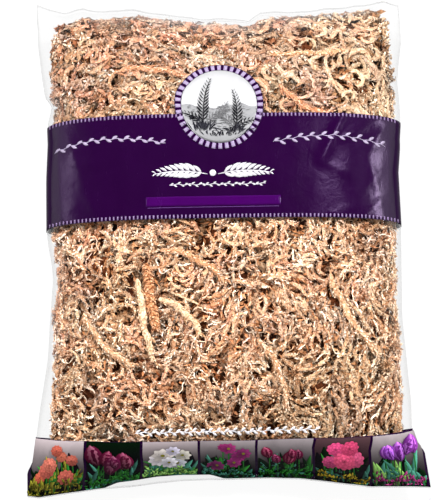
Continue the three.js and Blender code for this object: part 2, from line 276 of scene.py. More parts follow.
def inkFinish(name, colour=None, roughness=(0.16, 0.3), level=0.24):
    # ink behind glossy film: an even colour, or the shapes' own tints, with uneven gloss and crinkles
    finish = Finish(name, Specular_Tint=inkLook["glossTint"])
    base = finish.tint() if colour is None else colour
    cloud = finish.ramp(finish.noise(16, 4, 0.6), inkLook["cloud"])
    finish.drive("Base Color", finish.mix(1.0, cloud, base, "MULTIPLY"))
    smear = finish.noise(7, 3, 0.6, stretch=(1, 0.35, 1))
    finish.drive("Roughness", finish.ramp(smear, list(zip(inkLook["smear"], roughness))))
    finish.drive("Normal", finish.crinkles(*inkLook["crinkles"]))
    # the gloss fades where the wall turns away, so that its edge doesn't mirror the pale table
    levels = (level, inkLook["faded"] * level)
    finish.drive("Specular IOR Level", finish.ramp(finish.facing(), list(zip(inkLook["fade"], levels))))
    return finish.material


mossLook = {
    "shadowPowers": (1.0, 1.35, 1.7),  # the flecks' shade falls faster in green and blue
    "fleckSize": 2.0,
    "speckSize": 0.8,
    # painted shade of the specks between crumbs, and painted glints on the palest crumbs
    "speckShade": 0.75,
    "speckPaintedGlint": (1.06, 1.09, 1.13),
    "warmthSize": 3.5,
    "warm": (1.0, 0.9, 0.83),
    "plain": (0.97, 1.0, 0.95),
    "fibreSize": 1.3,
    "fibreBump": (0.6, 0.5),
}


def mossFinish(name, contrast=0.3, roughness=0.88):
    # dry moss: each strand's own tint, mottled in flecks, with finer specks of painted shade between crumbs
    # and painted glints on them, and a fibrous bump
    finish = Finish(name, Roughness=roughness, Specular_IOR_Level=0.1)
    shadow = tuple((1 - contrast) ** power for power in mossLook["shadowPowers"])
    deeper = tuple(s * mossLook["speckShade"] for s in shadow)
    fleck = finish.ramp(finish.noise(mossLook["fleckSize"], 2, 0.6), [(0.35, shadow), (0.46, 1.0)])
    # specks: painted shade where crumbs part, then painted glints on the palest of them
    speck = finish.ramp(finish.noise(mossLook["speckSize"], 1, 0.5),
                        [(0.34, deeper), (0.41, 0.95), (0.56, 1.0), (0.66, mossLook["speckPaintedGlint"])])
    warm = finish.mix(finish.noise(mossLook["warmthSize"], 2, 0.5), mossLook["warm"], mossLook["plain"])
    crumbed = finish.mix(1.0, finish.tint(), speck, "MULTIPLY")
    flecked = finish.mix(1.0, crumbed, fleck, "MULTIPLY")
    finish.drive("Base Color", finish.mix(1.0, flecked, warm, "MULTIPLY"))
    finish.drive("Normal", finish.bump(finish.noise(mossLook["fibreSize"], 2, 0.6), *mossLook["fibreBump"]))
    return finish.material


def floorFinish():
    finish = Finish("paleFloor", Base_Color=studio["floorGrey"], Roughness=0.75, Specular_IOR_Level=0.1,
                    Emission_Color=1.0, Emission_Strength=studio["floorGlow"])
    return finish.material


# making meshes


def addPiece(name, parts, material, replaced=(), smooth=True, thickness=0.0, weld=0.0):
    # parts are (points, faces, tints); they are joined into one mesh whose place is in its points
    points = np.concatenate([part[0].reshape(-1, 3) for part in parts])
    starts = np.cumsum([0] + [part[0].size // 3 for part in parts])
    faces = []
    for part, start in zip(parts, starts):
        faces.extend((part[1] + start).tolist())
    mesh = bpy.data.meshes.new(name)
    mesh.from_pydata((points * mm).tolist(), [], faces)
    if parts[0][2] is not None:
        tints = np.concatenate([np.broadcast_to(part[2], part[0].shape).reshape(-1, 3) for part in parts])
        colours = np.concatenate([tints, np.ones((len(tints), 1))], axis=1)
        attribute = mesh.attributes.new("tint", "FLOAT_COLOR", "POINT")
        attribute.data.foreach_set("color", np.clip(colours, 0, 1).ravel().astype(np.float32))
    if weld:
        weldMesh(mesh, weld)
    mesh.polygons.foreach_set("use_smooth", np.full(len(mesh.polygons), smooth))
    mesh.materials.append(material)
    mesh.update()
    piece = newObject(name, mesh)
    if thickness:
        solidify = piece.modifiers.new("thickness", "SOLIDIFY")
        solidify.thickness = thickness * mm
        solidify.offset = -1
        solidify.use_quality_normals = False
    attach(piece, "root")
    if replaced:
        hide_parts(*replaced)
    triangles = sum(len(face) - 2 for face in faces) * (2 if thickness else 1)
    print(f"{name}: {triangles} triangles")


def weldMesh(mesh, distance):
    shell = bmesh.new()
    shell.from_mesh(mesh)
    bmesh.ops.remove_doubles(shell, verts=shell.verts, dist=distance * mm)
    bmesh.ops.recalc_face_normals(shell, faces=shell.faces)
    shell.to_mesh(mesh)
    shell.free()


def gridFaces(rows, columns, wrapped=False):
    # quads of a grid of points, counterclockwise seen with columns to the right and rows upwards
    across = np.arange(columns if wrapped else columns - 1)
    row, column = np.meshgrid(np.arange(rows - 1), across, indexing="ij")
    here = row * columns + column
    right = row * columns + (column + 1) % columns
    return np.stack([here, right, right + columns, here + columns], axis=-1).reshape(-1, 4)


def tiled(faces, count, size):
    # the same faces for count copies of a shape of size points
    return (faces[None] + (np.arange(count) * size)[:, None, None]).reshape(-1, faces.shape[1])


def crowded(count, even, sine):
    # count + 1 places t from -1 to 1, crowded towards both ends: even x t + sine x sin(pi t / 2)
    t = np.linspace(-1, 1, count + 1)
    return even * t + sine * np.sin(t * np.pi / 2)


# the bag's form: the same curves as its solid, with creases and pinches

filmLow, filmHigh = nodeBox("film_bag")
bandLow, bandHigh = nodeBox("printed_band")
bandSpan = (bandLow[1], bandHigh[1])
bag = {
    "halfLength": filmHigh[1],
    "bottomFlare": 14.5,  # how much further each side stands out at the seal than at the waist
    "topFlare": 7.5,
    "flareStart": (45, 60),  # how far from the middle the bottom's and the top's flare start
    "flarePower": 1.3,
    "fillHalfLength": filmHigh[1] - 3,
    "fillPowers": (3.6, 0.72),
    "crown": 48,  # the front's height over the seam
    "belly": 31,  # and the back's depth under it
    "frontPower": 3.2,
    "backPower": 4,
    "seamHeight": 26,
    "sealDroop": 8,  # how much lower the seam is at the seals
    "sealPull": 8.7,  # how far the fill draws the middle of a seal inwards
    "sealHalf": 0.7,
    "edgePower": 8,  # how late the seal's thickness ends towards the sides
    "endPower": 200,  # and towards its own edge
    "leastHalf": 0.02,
    "floorLift": 1.1,
    "liftRamp": 6,
    "columns": (0.55, 0.45),  # even and sine parts of the places across
}
bag["halfWidth"] = filmHigh[0] - bag["bottomFlare"]

wrinkles = {
    # how far the film's outline stands out past its smooth form, at y for the sides and x for the seals
    "left": [(-149, -1.0), (-135, 1.3), (-129, -0.7), (-98, -0.3), (-69, -1.2), (-49, -0.4), (-34, -1.4),
             (-24, -2.3), (-14, -1.7), (-4, 0.1), (5, 1.3), (38, 1.4), (71, 0.0), (78, -2.3), (84, -3.7),
             (90, 0.0), (105, 1.0), (121, 1.7), (149, 1.0)],
    "right": [(-149, 0.4), (-127, 0.8), (-121, -2.8), (-114, -4.0), (-97, -1.5), (-67, 0.1), (-38, 0.6),
              (6, 1.4), (22, 1.0), (39, 0.6), (55, 2.1), (73, 2.2), (85, 0.7), (97, -1.0), (111, -0.4),
              (123, 0.3), (149, -2.2)],
    "top": [(-112, 1.2), (-105, -0.8), (-96, -1.7), (-85, 2.3), (-59, 3.7), (-43, 3.1), (-3, -0.5),
            (18, -2.2), (21, 1.3), (25, 3.7), (48, 1.8), (70, 1.4), (83, 2.7), (101, 1.1), (110, -2.4)],
    "bottom": [(-118, -1.2), (-112, -3.0), (-83, -2.7), (-58, -2.8), (-28, -1.4), (-7, -1.6), (19, -1.2),
               (43, -0.9), (66, -2.3), (85, -3.2), (102, -1.2), (118, 0.4)],
    "creases": [  # x, y of each end, height, spread
        (97, 66, 84, 44, 1.0, 2.2),
        (84, 44, 90, 22, 0.9, 2.0),
        (90, 22, 95, -4, 0.9, 2.4),
        (72, 72, 55, 38, 2.2, 2.6),
        (84, 62, 66, 52, 1.1, 2.0),
        (99, 60, 97, 12, 0.9, 1.5),
        (52, 40, 76, 32, 0.45, 3.2),
        (-98, 62, -94, 8, 1.0, 1.6),
        (-92, 64, -80, 26, 0.8, 2.6),
        (-84, 30, -70, 6, 0.7, 2.4),
        (-60, 14, -42, 24, 0.4, 2.6),
        (-101, 20, -88, 2, 0.7, 2.2),
        (60, 8, 88, 18, 0.4, 3.2),
        (-96, -20, -74, -50, 0.6, 2.0),
        (97, -30, 80, -58, 0.6, 2.0),
        (-70, 118, -94, 92, 0.7, 2.0),
        (72, 122, 96, 100, 0.7, 2.0),
        (-88, -92, -64, -116, 0.7, 2.2),
        (90, -88, 70, -114, 0.7, 2.2),
        (108, -119, 113, -147, 1.3, 1.5),
        (99, -112, 104, -136, 0.9, 1.5),
        (103, -128, 93, -147, 0.8, 1.5),
        (86, -118, 91, -140, 0.7, 1.8),
        (-107, -118, -101, -146, 0.9, 1.6),
        (-93, -126, -97, -148, 0.7, 1.6),
        (12, -121, 24, -143, 0.7, 2.2),
        (22, -118, 40, -136, 0.5, 2.4),
        (-58, -130, -40, -146, 0.6, 2.0),
        (-30, -134, -22, -148, 0.6, 1.8),
        (60, -128, 52, -146, 0.6, 2.0),
    ],
    "flutes": [(31, 0.4, 1.3), (17, 2.1, 0.6), (53, 1.0, 1.6)],  # wavelength, phase, height
}
smallWrinkles = {  # short creases that run in from the side seams and down from the seals
    "seed": 5,
    "length": (8, 30),
    "height": (0.2, 0.7),
    "spread": (0.9, 2.2),
    "sides": 64,
    "sideX": (92, 102),
    "sideY": (-130, 130),
    "sideTurn": 0.55,
    "ends": 46,
    "endX": (-100, 100),
    "endY": (128, 142),
    "endTurn": 0.3,
}


def smallCreases():
    setting = smallWrinkles
    random = np.random.default_rng(setting["seed"])
    made = []
    for index in range(setting["sides"] + setting["ends"]):
        length = random.uniform(*setting["length"])
        height = random.uniform(*setting["height"])
        spread = random.uniform(*setting["spread"])
        side = random.choice((-1, 1))
        if index < setting["sides"]:
            x, y = side * random.uniform(*setting["sideX"]), random.uniform(*setting["sideY"])
            heading = math.pi * (side > 0) + random.normal(0, setting["sideTurn"])
        else:
            x, y = random.uniform(*setting["endX"]), side * random.uniform(*setting["endY"])
            heading = -side * math.pi / 2 + random.normal(0, setting["endTurn"])
        made.append((x, y, x + length * math.cos(heading), y + length * math.sin(heading), height, spread))
    return made


allCreases = wrinkles["creases"] + smallCreases()


def creaseHeight(x, y):
    # each crease: height x e^(-distance / spread), fading out towards both its ends
    total = np.zeros(np.broadcast(x, y).shape)
    for startX, startY, endX, endY, height, spread in allCreases:
        runX, runY = endX - startX, endY - startY
        length = math.hypot(runX, runY)
        along = ((x - startX) * runX + (y - startY) * runY) / length**2
        away = np.abs((x - startX) * runY - (y - startY) * runX) / length
        fade = np.sqrt(np.clip(4 * along * (1 - along), 0, None))
        total += height * np.exp(-away / spread) * fade
    return total


def flutesAt(x):
    # the sum of height x sin(2 pi x / wavelength + phase)
    terms = wrinkles["flutes"]
    return sum(height * np.sin(2 * np.pi * x / length + phase) for length, phase, height in terms)


def halfWidthAt(y, share=0.0):
    # the waist plus a flare towards each end, plus the outline's own unevenness close to that side
    low, high = bag["flareStart"]
    end = bag["halfLength"]
    bottom = ramped(-y, low, end - low) ** bag["flarePower"]
    top = ramped(y, high, end - high)
    width = bag["halfWidth"] + bag["bottomFlare"] * bottom + bag["topFlare"] * top
    uneven = np.where(share < 0, between(wrinkles["left"], y), between(wrinkles["right"], y))
    return width + uneven * np.abs(share) ** 3


def fillShare(y):
    # 1 in the middle and 0 at the seals: (1 - |y / half length|^a)^b
    first, second = bag["fillPowers"]
    return (1 - np.clip(np.abs(y) / bag["fillHalfLength"], 0, 1) ** first) ** second


def seamHeightAt(x, y):
    # the seam sinks towards both seals, where it also waves up and down
    far = np.abs(y) / bag["halfLength"]
    return bag["seamHeight"] - bag["sealDroop"] * far**4 + far**6 * flutesAt(x)


def floorHeightAt(y):
    # the back is lifted a little under the band, so that the film meets the floor and not the band
    low, high = bandSpan
    reach = bag["liftRamp"]
    return bag["floorLift"] * np.clip(np.minimum(y - low + reach, high + reach - y) / reach, 0, 1)


def wallPoints(share, y, side, lift, creased=True, halfWidth=halfWidthAt):
    # share runs from -1 to 1 across the bag and side is 1 for the front, -1 for the back. The wall stands
    # rise = height x fill x sqrt(1 - |share|^power) off the seam, and lift moves it outwards
    share, y, side, lift = np.broadcast_arrays(*(np.asarray(a, dtype=float) for a in (share, y, side, lift)))
    width = np.abs(share)
    x = share * (halfWidth(y, share) + lift)
    power = np.where(side > 0, bag["frontPower"], bag["backPower"])
    height = np.where(side > 0, bag["crown"], bag["belly"])
    rise = height * fillShare(y) * np.sqrt(np.clip(1 - width**power, 0, 1))
    edge = np.sqrt(np.clip(1 - width ** bag["edgePower"], 0, 1))
    end = np.clip(1 - (np.abs(y) / bag["halfLength"]) ** bag["endPower"], 0, 1)
    if creased:
        rise = rise + creaseHeight(x, y) * edge * np.clip(fillShare(y) * 4, 0, 1)
    half = bag["sealHalf"] * edge * end + rise + lift * np.maximum(edge, 0.4)
    half = np.maximum(half, bag["leastHalf"] * edge * end)
    z = seamHeightAt(x, y) + side * np.where(width < 1, half, 0)
    far = y / bag["halfLength"]
    pull = bag["sealPull"] * (1 - share**2) * far**3
    uneven = np.where(y > 0, between(wrinkles["top"], x), between(wrinkles["bottom"], x)) * far**6
    return np.stack([x, y - pull + uneven, np.maximum(z, floorHeightAt(y) - lift)], axis=-1)


def sleeveRing(columns):
    # shares and sides of a ring round the bag: the front from left to right, then the back to the left
    shares = crowded(columns, *bag["columns"])
    shares[0], shares[-1] = -1, 1
    ringShares = np.concatenate([shares, shares[-2:0:-1]])
    ringSides = np.concatenate([np.ones(columns + 1), -np.ones(columns - 1)])
    return ringShares, ringSides


def sleeve(rows, columns, lift):
    shares, sides = sleeveRing(columns)
    points = wallPoints(shares[None, :], rows[:, None], sides[None, :], lift)
    # this ring runs clockwise seen from the top seal, so the grid's faces already point outwards
    return points.reshape(-1, 3), gridFaces(len(rows), len(shares), wrapped=True)


# the film

film = {"columns": 112, "rows": 108, "spread": (0.7, 0.3), "ventPlace": (62, 112), "ventRadius": 3.0}


def addFilm():
    rows = bag["halfLength"] * crowded(film["rows"], *film["spread"])
    points, faces = sleeve(rows, film["columns"], 0.0)
    # the vent: back faces inside its circle go, and the points next to it move onto the circle
    away = points[:, :2] - film["ventPlace"]
    distance = np.linalg.norm(away, axis=1)
    onBack = points[:, 2] < seamHeightAt(points[:, 0], points[:, 1])
    inside = (distance < film["ventRadius"]) & onBack
    faces = faces[~inside[faces].all(axis=1)]
    rim = np.zeros(len(points), dtype=bool)
    rim[faces[inside[faces].any(axis=1)].ravel()] = True
    rim &= inside
    stretch = film["ventRadius"] / np.maximum(distance[rim], 0.1)
    points[rim, :2] = film["ventPlace"] + away[rim] * stretch[:, None]
    addPiece("filmSkin", [(points, faces, None)], filmFinish(), ["film_bag"], weld=0.005)


# the print: shapes drawn flat in (x, y) and laid on the bag's wall

ink = {  # colours are about a third of what they look like under the lamps
    "purple": (0.0087, 0.0004, 0.0155),
    "bright": (0.0245, 0.0002, 0.047),
    "lilac": (0.215, 0.17, 0.265),
    "dimLilac": (0.15, 0.105, 0.19),
    "underline": (0.075, 0.03, 0.12),
    "white": (0.36, 0.35, 0.37),
    "paleLilac": (0.24, 0.2, 0.28),
    "black": (0.004, 0.004, 0.005),
    "paleGrey": (0.19, 0.19, 0.196),
    "midGrey": (0.09, 0.09, 0.093),
    "overMoss": (0.62, 0.6, 0.62),
    "haze": (0.21, 0.21, 0.216),
    "sky": (0.29, 0.29, 0.296),
    "lift": 0.3,  # from the film's wall to the inside of the ink
    "thickness": 0.1,
    "step": 0.13,  # from one drawn layer to the next
    "drawn": 0.04,  # the thickness of what is drawn on the ink
}

stripLow, stripHigh = nodeBox("printed_strip")
strip = {
    "low": stripLow[1] + 1.6,
    "high": stripHigh[1],
    "fade": 24,  # how far above the strip its edge still moves what is drawn
    # y of the real bottom and top edges at heights x, straight between the places
    "bottomEdge": [(-118, -148.4), (-70, -148.3), (-62, -145.6), (-40, -144.4), (-10, -145.2), (-2, -148.0),
                   (118, -148.4)],
    "topEdge": [(-114, -114.3), (-96, -117.4), (-83, -118.6), (-67, -120.4), (-32, -122.4), (12, -122.8),
                (40, -121.6), (63, -120.4), (79, -118.6), (98, -116.4), (105, -114.8), (114, -113.0)],
    "post": 1.5,
    "margin": 0.2,
    "rows": 20,
    "vineX": (-52, 50),
    "vineGap": 4.2,
    "ground": 3.0,  # layers between the strip's ink and the first drawn one
    "seed": 12,
}


def fitted(x, y):
    # what is drawn on the straight strip is stretched in y to the real edges, and above it moved with them
    low, high = strip["low"], strip["high"]
    sunk, raised = between(strip["bottomEdge"], x) - low, between(strip["topEdge"], x) - high
    share = ramped(y, low, high - low)
    over = np.clip(1 - (y - high) / strip["fade"], 0, 1)
    return y + (sunk * (1 - share) + raised * share) * over


def laid(flat, lift, side):
    # flat (x, y) shapes laid on the front or back, where share = x / half width
    x, y = flat[..., 0], fitted(flat[..., 0], flat[..., 1])
    # below the strip's top edge the print fans out with the film
    x = x * halfWidthAt(np.minimum(y, strip["high"])) / halfWidthAt(strip["high"])
    share = np.clip(x / halfWidthAt(y, np.sign(x)), -0.999, 0.999)
    return wallPoints(share, y, side, lift)


def draw(parts, flat, faces, tint, layer, side):
    # layer is the number of steps above the ink, and faces turn over for the back
    points = laid(flat, ink["lift"] + ink["thickness"] + ink["step"] * layer, side)
    tint = np.broadcast_to(tint, points.shape)
    parts.append((points.reshape(-1, 3), faces if side > 0 else faces[:, ::-1], tint.reshape(-1, 3)))


def leaves(x, y, heading, length, width, bend=0.0, steps=5, blunt=0.75):
    # flat leaves from their stalks: half width = width / 2 x sin(pi t)^blunt, on an axis that turns by bend
    x, y, heading, length, width, bend = np.broadcast_arrays(*(np.asarray(a, dtype=float) for a in (
        x, y, heading, length, width, bend)))
    t = np.linspace(0, 1, steps + 1)
    turn = heading[..., None] + bend[..., None] * t
    stride = length[..., None] / steps
    axisX = x[..., None] + np.cumsum(np.cos(turn) * stride, axis=-1) - np.cos(turn[..., :1]) * stride
    axisY = y[..., None] + np.cumsum(np.sin(turn) * stride, axis=-1) - np.sin(turn[..., :1]) * stride
    half = 0.5 * width[..., None] * np.maximum(np.sin(np.pi * np.clip(t, 0.02, 0.985)), 0) ** blunt
    across = np.array([1.0, 0.0, -1.0])
    flatX = axisX[..., None] - np.sin(turn)[..., None] * half[..., None] * across
    flatY = axisY[..., None] + np.cos(turn)[..., None] * half[..., None] * across
    return np.stack([flatX, flatY], axis=-1).reshape(-1, steps + 1, 3, 2)


def drawLeaves(parts, flat, colour, layer, side=1, shade=None):
    # one tint a leaf, or one for all; columns run from its left edge to its right edge. shade is the tone of
    # its root, tip, left edge and right edge, where the middle of the leaf has 1
    count, rows, columns, _ = flat.shape
    tint = np.asarray(colour, dtype=float).reshape(-1, 1, 1, 3)
    if shade:
        root, tip, left, right = shade
        tint = tint * np.linspace(root, tip, rows)[:, None, None] * np.array([left, 1, right])[:, None]
    draw(parts, flat, tiled(gridFaces(rows, columns), count, rows * columns), tint, layer, side)


def drawDisc(parts, x, y, radius, colour, layer, side=1, rings=3, sides=28, squash=1.0):
    # a polar grid round a hole too small to see, squash times as tall as it is wide
    r = np.linspace(0.02 * radius, radius, rings + 1)[:, None]
    angle = np.linspace(0, 2 * np.pi, sides, endpoint=False)
    flat = np.stack([x + r * np.cos(angle), y + squash * r * np.sin(angle)], axis=-1)
    draw(parts, flat, gridFaces(rings + 1, sides, wrapped=True)[:, ::-1], colour, layer, side)


def drawPatch(parts, corners, lowColour, highColour, layer, side=1, columns=48, rows=4, power=1.0):
    # a rectangle whose tint runs from lowColour to highColour as height^power does
    lowX, highX, lowY, highY = corners
    x, y = np.linspace(lowX, highX, columns + 1), np.linspace(lowY, highY, rows + 1)
    mixed = np.linspace(0, 1, rows + 1)[:, None, None] ** power
    tint = np.array(lowColour) * (1 - mixed) + np.array(highColour) * mixed
    draw(parts, np.stack(np.meshgrid(x, y), axis=-1), gridFaces(rows + 1, columns + 1), tint, layer, side)


def drawFrond(parts, x, y, heading, length, bend, leaflets, leafLength, colour, layer, lean, slim):
    # a rib that bends by bend, with pairs of leaflets that shorten towards its tip
    t = np.linspace(0.12, 0.97, leaflets)
    turn = heading + bend * t
    steps = 40
    fine = np.linspace(0, 1, steps + 1)
    ribX = x + np.concatenate([[0], np.cumsum(np.cos(heading + bend * fine[:-1]))]) * length / steps
    ribY = y + np.concatenate([[0], np.cumsum(np.sin(heading + bend * fine[:-1]))]) * length / steps
    rootX, rootY = np.interp(t, fine, ribX), np.interp(t, fine, ribY)
    size = leafLength * (1 - 0.75 * t**1.5) * np.minimum(1, 0.45 + 2.2 * t)
    for hand in (1, -1):
        flat = leaves(rootX, rootY, turn + hand * lean, size, size * slim, -hand * 0.5)
        drawLeaves(parts, flat, colour, layer)
    rib = leaves([x], [y], [heading], [length], [max(0.5, leafLength * 0.09)], [bend], steps=12, blunt=0.3)
    drawLeaves(parts, rib, colour, layer)


vineLook = {"stem": 0.22, "wave": 0.35, "waviness": 0.9, "lean": 0.75, "curl": 0.4, "slim": 0.42, "steps": 60}


def drawVine(parts, lowX, highX, y, drop, leafCount, leafLength, colour, layer=1):
    # a thin waving stem whose ends drop as a parabola does, with leaves above and below it in turn
    x = np.linspace(lowX, highX, vineLook["steps"] + 1)
    share = (x - (lowX + highX) / 2) / (highX - lowX) * 2
    height = y + drop * share**2 + vineLook["wave"] * np.sin(x * vineLook["waviness"])
    edges = [height + vineLook["stem"], height - vineLook["stem"]]
    flat = np.stack([np.stack([x, x], axis=-1), np.stack(edges, axis=-1)], axis=-1)
    drawLeaves(parts, flat[None], colour, layer)
    rootX = np.linspace(lowX, highX, leafCount + 1)[:-1] + 0.5
    rootY = np.interp(rootX, x, height)
    hand = np.where(np.arange(leafCount) % 2 == 0, 1.0, -1.0)
    flat = leaves(rootX, rootY, hand * vineLook["lean"], leafLength, leafLength * vineLook["slim"],
                  -hand * vineLook["curl"])
    drawLeaves(parts, flat, colour, layer)


# the purple band with its ticks

bandPrint = {"rows": 34, "tickPitch": 2.3, "tickWidth": 0.85, "tickLength": 2.1, "tickInset": 0.15}


def addBand():
    rows = np.linspace(*bandSpan, bandPrint["rows"])
    points, faces = sleeve(rows, film["columns"], ink["lift"] + ink["thickness"])
    addPiece("bandInk", [(points, faces, None)], inkFinish("bandInk", ink["purple"]),
             ["printed_band"], thickness=ink["thickness"])


def addTicks():
    # short upright ticks along both edges of the band, on the front and on the back
    parts = []
    half = bag["halfWidth"] - 0.6
    count = int(2 * half / bandPrint["tickPitch"])
    x = (np.arange(count) - (count - 1) / 2) * bandPrint["tickPitch"]
    low = bandSpan[0] + bandPrint["tickInset"]
    high = bandSpan[1] - bandPrint["tickInset"] - bandPrint["tickLength"]
    corner = np.array([-0.5, 0.5]) * bandPrint["tickWidth"]
    rise = np.linspace(0, bandPrint["tickLength"], 3)[None, :, None]
    for base in (low, high):
        flatX = x[:, None, None] + corner + 0 * rise
        flat = np.stack([flatX, base + rise + 0 * flatX], axis=-1)
        for side in (1, -1):
            draw(parts, flat, tiled(gridFaces(3, 2), count, 6), ink["dimLilac"], 1, side)
    addPiece("bandTicks", parts, inkFinish("tickInk"), thickness=ink["drawn"])


# the badge: a purple disc, its ring of ticks and the fern drawing in it

badgeLow, badgeHigh = nodeBox("badge")
badge = {
    "x": (badgeLow[0] + badgeHigh[0]) / 2,
    "y": 74.2,
    "radius": 25.6,
    "rim": 3.9,
    "tall": 1.07,  # the disc is as much taller as its slope towards the top makes it look shorter
    "ticks": 40,
    "tickShare": 0.56,  # of the way from one tick to the next
    "tickGaps": (0.3, 0.35),  # from a tick's ends to the rim's inner and outer edge
    "sky": (30, 0, 0, (1.3, 0.95), "sky", 2.5),
    "hills": [  # height over the middle, phase, wave, tones at the edge and the top, ink, layer
        (-0.5, -0.5, 1.2, (1.0, 0.84), "haze", 4.0),
        (-4.5, -4.5, 1.6, (1.1, 0.9), "paleGrey", 5.3),
        (-9.5, -9.5, 1.4, (1.1, 0.85), "haze", 6.6),
        (-15.0, -15.0, 1.0, (0.75, 1.0), "haze", 7.9),
    ],
    "strokes": 150,  # short flat blades of grass
    "strokeY": (-8.5, 8.0),  # their middle height, and how far they reach from it
    "strokeLength": (1.2, 4.0),
    "strokeWidth": 0.28,
    "fronds": [  # x and y of the root from the middle, lean, length, bend, ink
        (-9, -13, -6, 31, 26, "black"),
        (-9, -13, -34, 16, -42, "black"),
        (-8, -13, 30, 17, 50, "midGrey"),
        (9, -15, 12, 25, -30, "black"),
        (9.5, -15, 38, 13, 52, "black"),
        (8, -15, -22, 14, -50, "midGrey"),
        (1, -8, 8, 11, 24, "midGrey"),
    ],
    "tufts": [  # x and y from the middle, reach to each side, blades, length
        (-10, -15.5, 3.2, 34, 6.0),
        (9, -17, 3.0, 30, 5.0),
        (0, -19, 6.0, 30, 3.0),
        (-15, -9, 2.0, 12, 3.0),
    ],
    "bladeWidth": 0.55,
    "seed": 9,
}


def drawHill(parts, radius, high, phase, wave, share, shade, layer):
    # the part of the badge's disc under a waving line: its columns stop at the disc's edge, and its tone runs
    # from share's first value at the disc's edge to the second one at the line
    across = np.linspace(-0.995, 0.995, 61) * radius
    edge = np.sqrt(radius**2 - across**2) * badge["tall"]
    line = high + wave * np.sin(across * 0.21 + phase) + 0.4 * wave * np.sin(across * 0.63)
    rows = np.linspace(0, 1, 9)[:, None]
    flatY = badge["y"] - edge + (np.clip(line, -edge, edge) + edge) * rows
    flat = np.stack([badge["x"] + across + 0 * rows, flatY], axis=-1)
    tint = np.array(ink[shade]) * (share[0] + (share[1] - share[0]) * rows[..., None])
    draw(parts, flat, gridFaces(9, 61), np.clip(tint, 0, 0.9), layer, 1)


def drawMeadow(parts, radius, random):
    # strokes of grass over the hills, then the fern fronds, each with a tuft of blades at its root
    x, y, count = badge["x"], badge["y"], badge["strokes"]
    middle, reach = badge["strokeY"]
    strokes = random.uniform(-1, 1, (2, count))
    strokeY = middle + reach * strokes[1]
    room = np.sqrt((radius - 1.0) ** 2 - (strokeY / badge["tall"]) ** 2) - 3.5
    flat = leaves(x + room * strokes[0] - 1.5, y + strokeY, random.normal(0, 0.1, count),
                  random.uniform(*badge["strokeLength"], count), badge["strokeWidth"], steps=3)
    drawLeaves(parts, flat, np.array(ink["midGrey"]) * random.uniform(0.1, 1.6, (count, 1)), 9.3)
    for place, high, lean, size, bend, colour in badge["fronds"]:
        drawFrond(parts, x + place, y + high, math.radians(90 - lean), size, -math.radians(bend),
                  round(size * 0.4) + 1, 3.0 + size * 0.1, ink[colour], 10, lean=1.0, slim=0.17)
    for place, high, reach, count, size in badge["tufts"]:
        bladeX = random.normal(0, reach, count)
        bladeY = y + high + random.uniform(-0.8, 0.8, count)
        length = size * random.uniform(0.5, 1.2, count)
        flat = leaves(x + place + bladeX, bladeY, math.pi / 2 - bladeX / reach * 0.35, length,
                      badge["bladeWidth"], random.normal(0, 0.4, count), blunt=0.5, steps=4)
        drawLeaves(parts, flat, np.array(ink["black"]) * random.uniform(0.5, 6, (count, 1)), 10.5)


def addBadge():
    x, y, radius, tall = badge["x"], badge["y"], badge["radius"], badge["tall"]
    inner = radius - badge["rim"]
    parts = []
    drawDisc(parts, x, y, radius, ink["purple"], 1, rings=18, sides=72, squash=tall)
    addPiece("badgeRim", parts, inkFinish("rimInk"), ["badge"], thickness=0.08)
    parts = []
    near, far = badge["tickGaps"]
    turn = (np.arange(badge["ticks"]) * 2 * np.pi / badge["ticks"])[:, None, None]
    reach = np.linspace(inner + near, radius - far, 4)[None, :, None]
    swing = np.array([0.5, -0.5]) * badge["tickShare"] * 2 * np.pi / badge["ticks"]
    flat = np.stack([x + reach * np.cos(turn + swing), y + reach * tall * np.sin(turn + swing)], axis=-1)
    drawLeaves(parts, flat, ink["lilac"], 2)
    drawHill(parts, inner, *badge["sky"])
    addPiece("badgeField", parts, inkFinish("fieldInk", level=0.08), thickness=0.05)
    parts = []
    for hill in badge["hills"]:
        drawHill(parts, inner - 0.3, *hill)
    drawMeadow(parts, inner, np.random.default_rng(badge["seed"]))
    addPiece("badgeFronds", parts, inkFinish("frondInk", level=0.05), thickness=ink["drawn"])


# the title bar, the garland over it and the vines

titleLow, titleHigh = nodeBox("title_bar")
title = {
    "lineGap": 0.6,
    "line": 0.3,
    "lineInset": 1,
    "garlandY": 35,
    "garlandHalf": 31,
    "garlandGap": 3,  # from the middle to each frond's root
    "garlandRise": 0.24,
    "garlandBend": 0.42,
    "budRadius": 1.9,
    "smallX": (-31, 24),
    "smallY": 26.6,
    "vineX": (-66, 62),
    "vineHalf": 33,
    "vineY": 55,
    "vineDrop": -4.0,
}


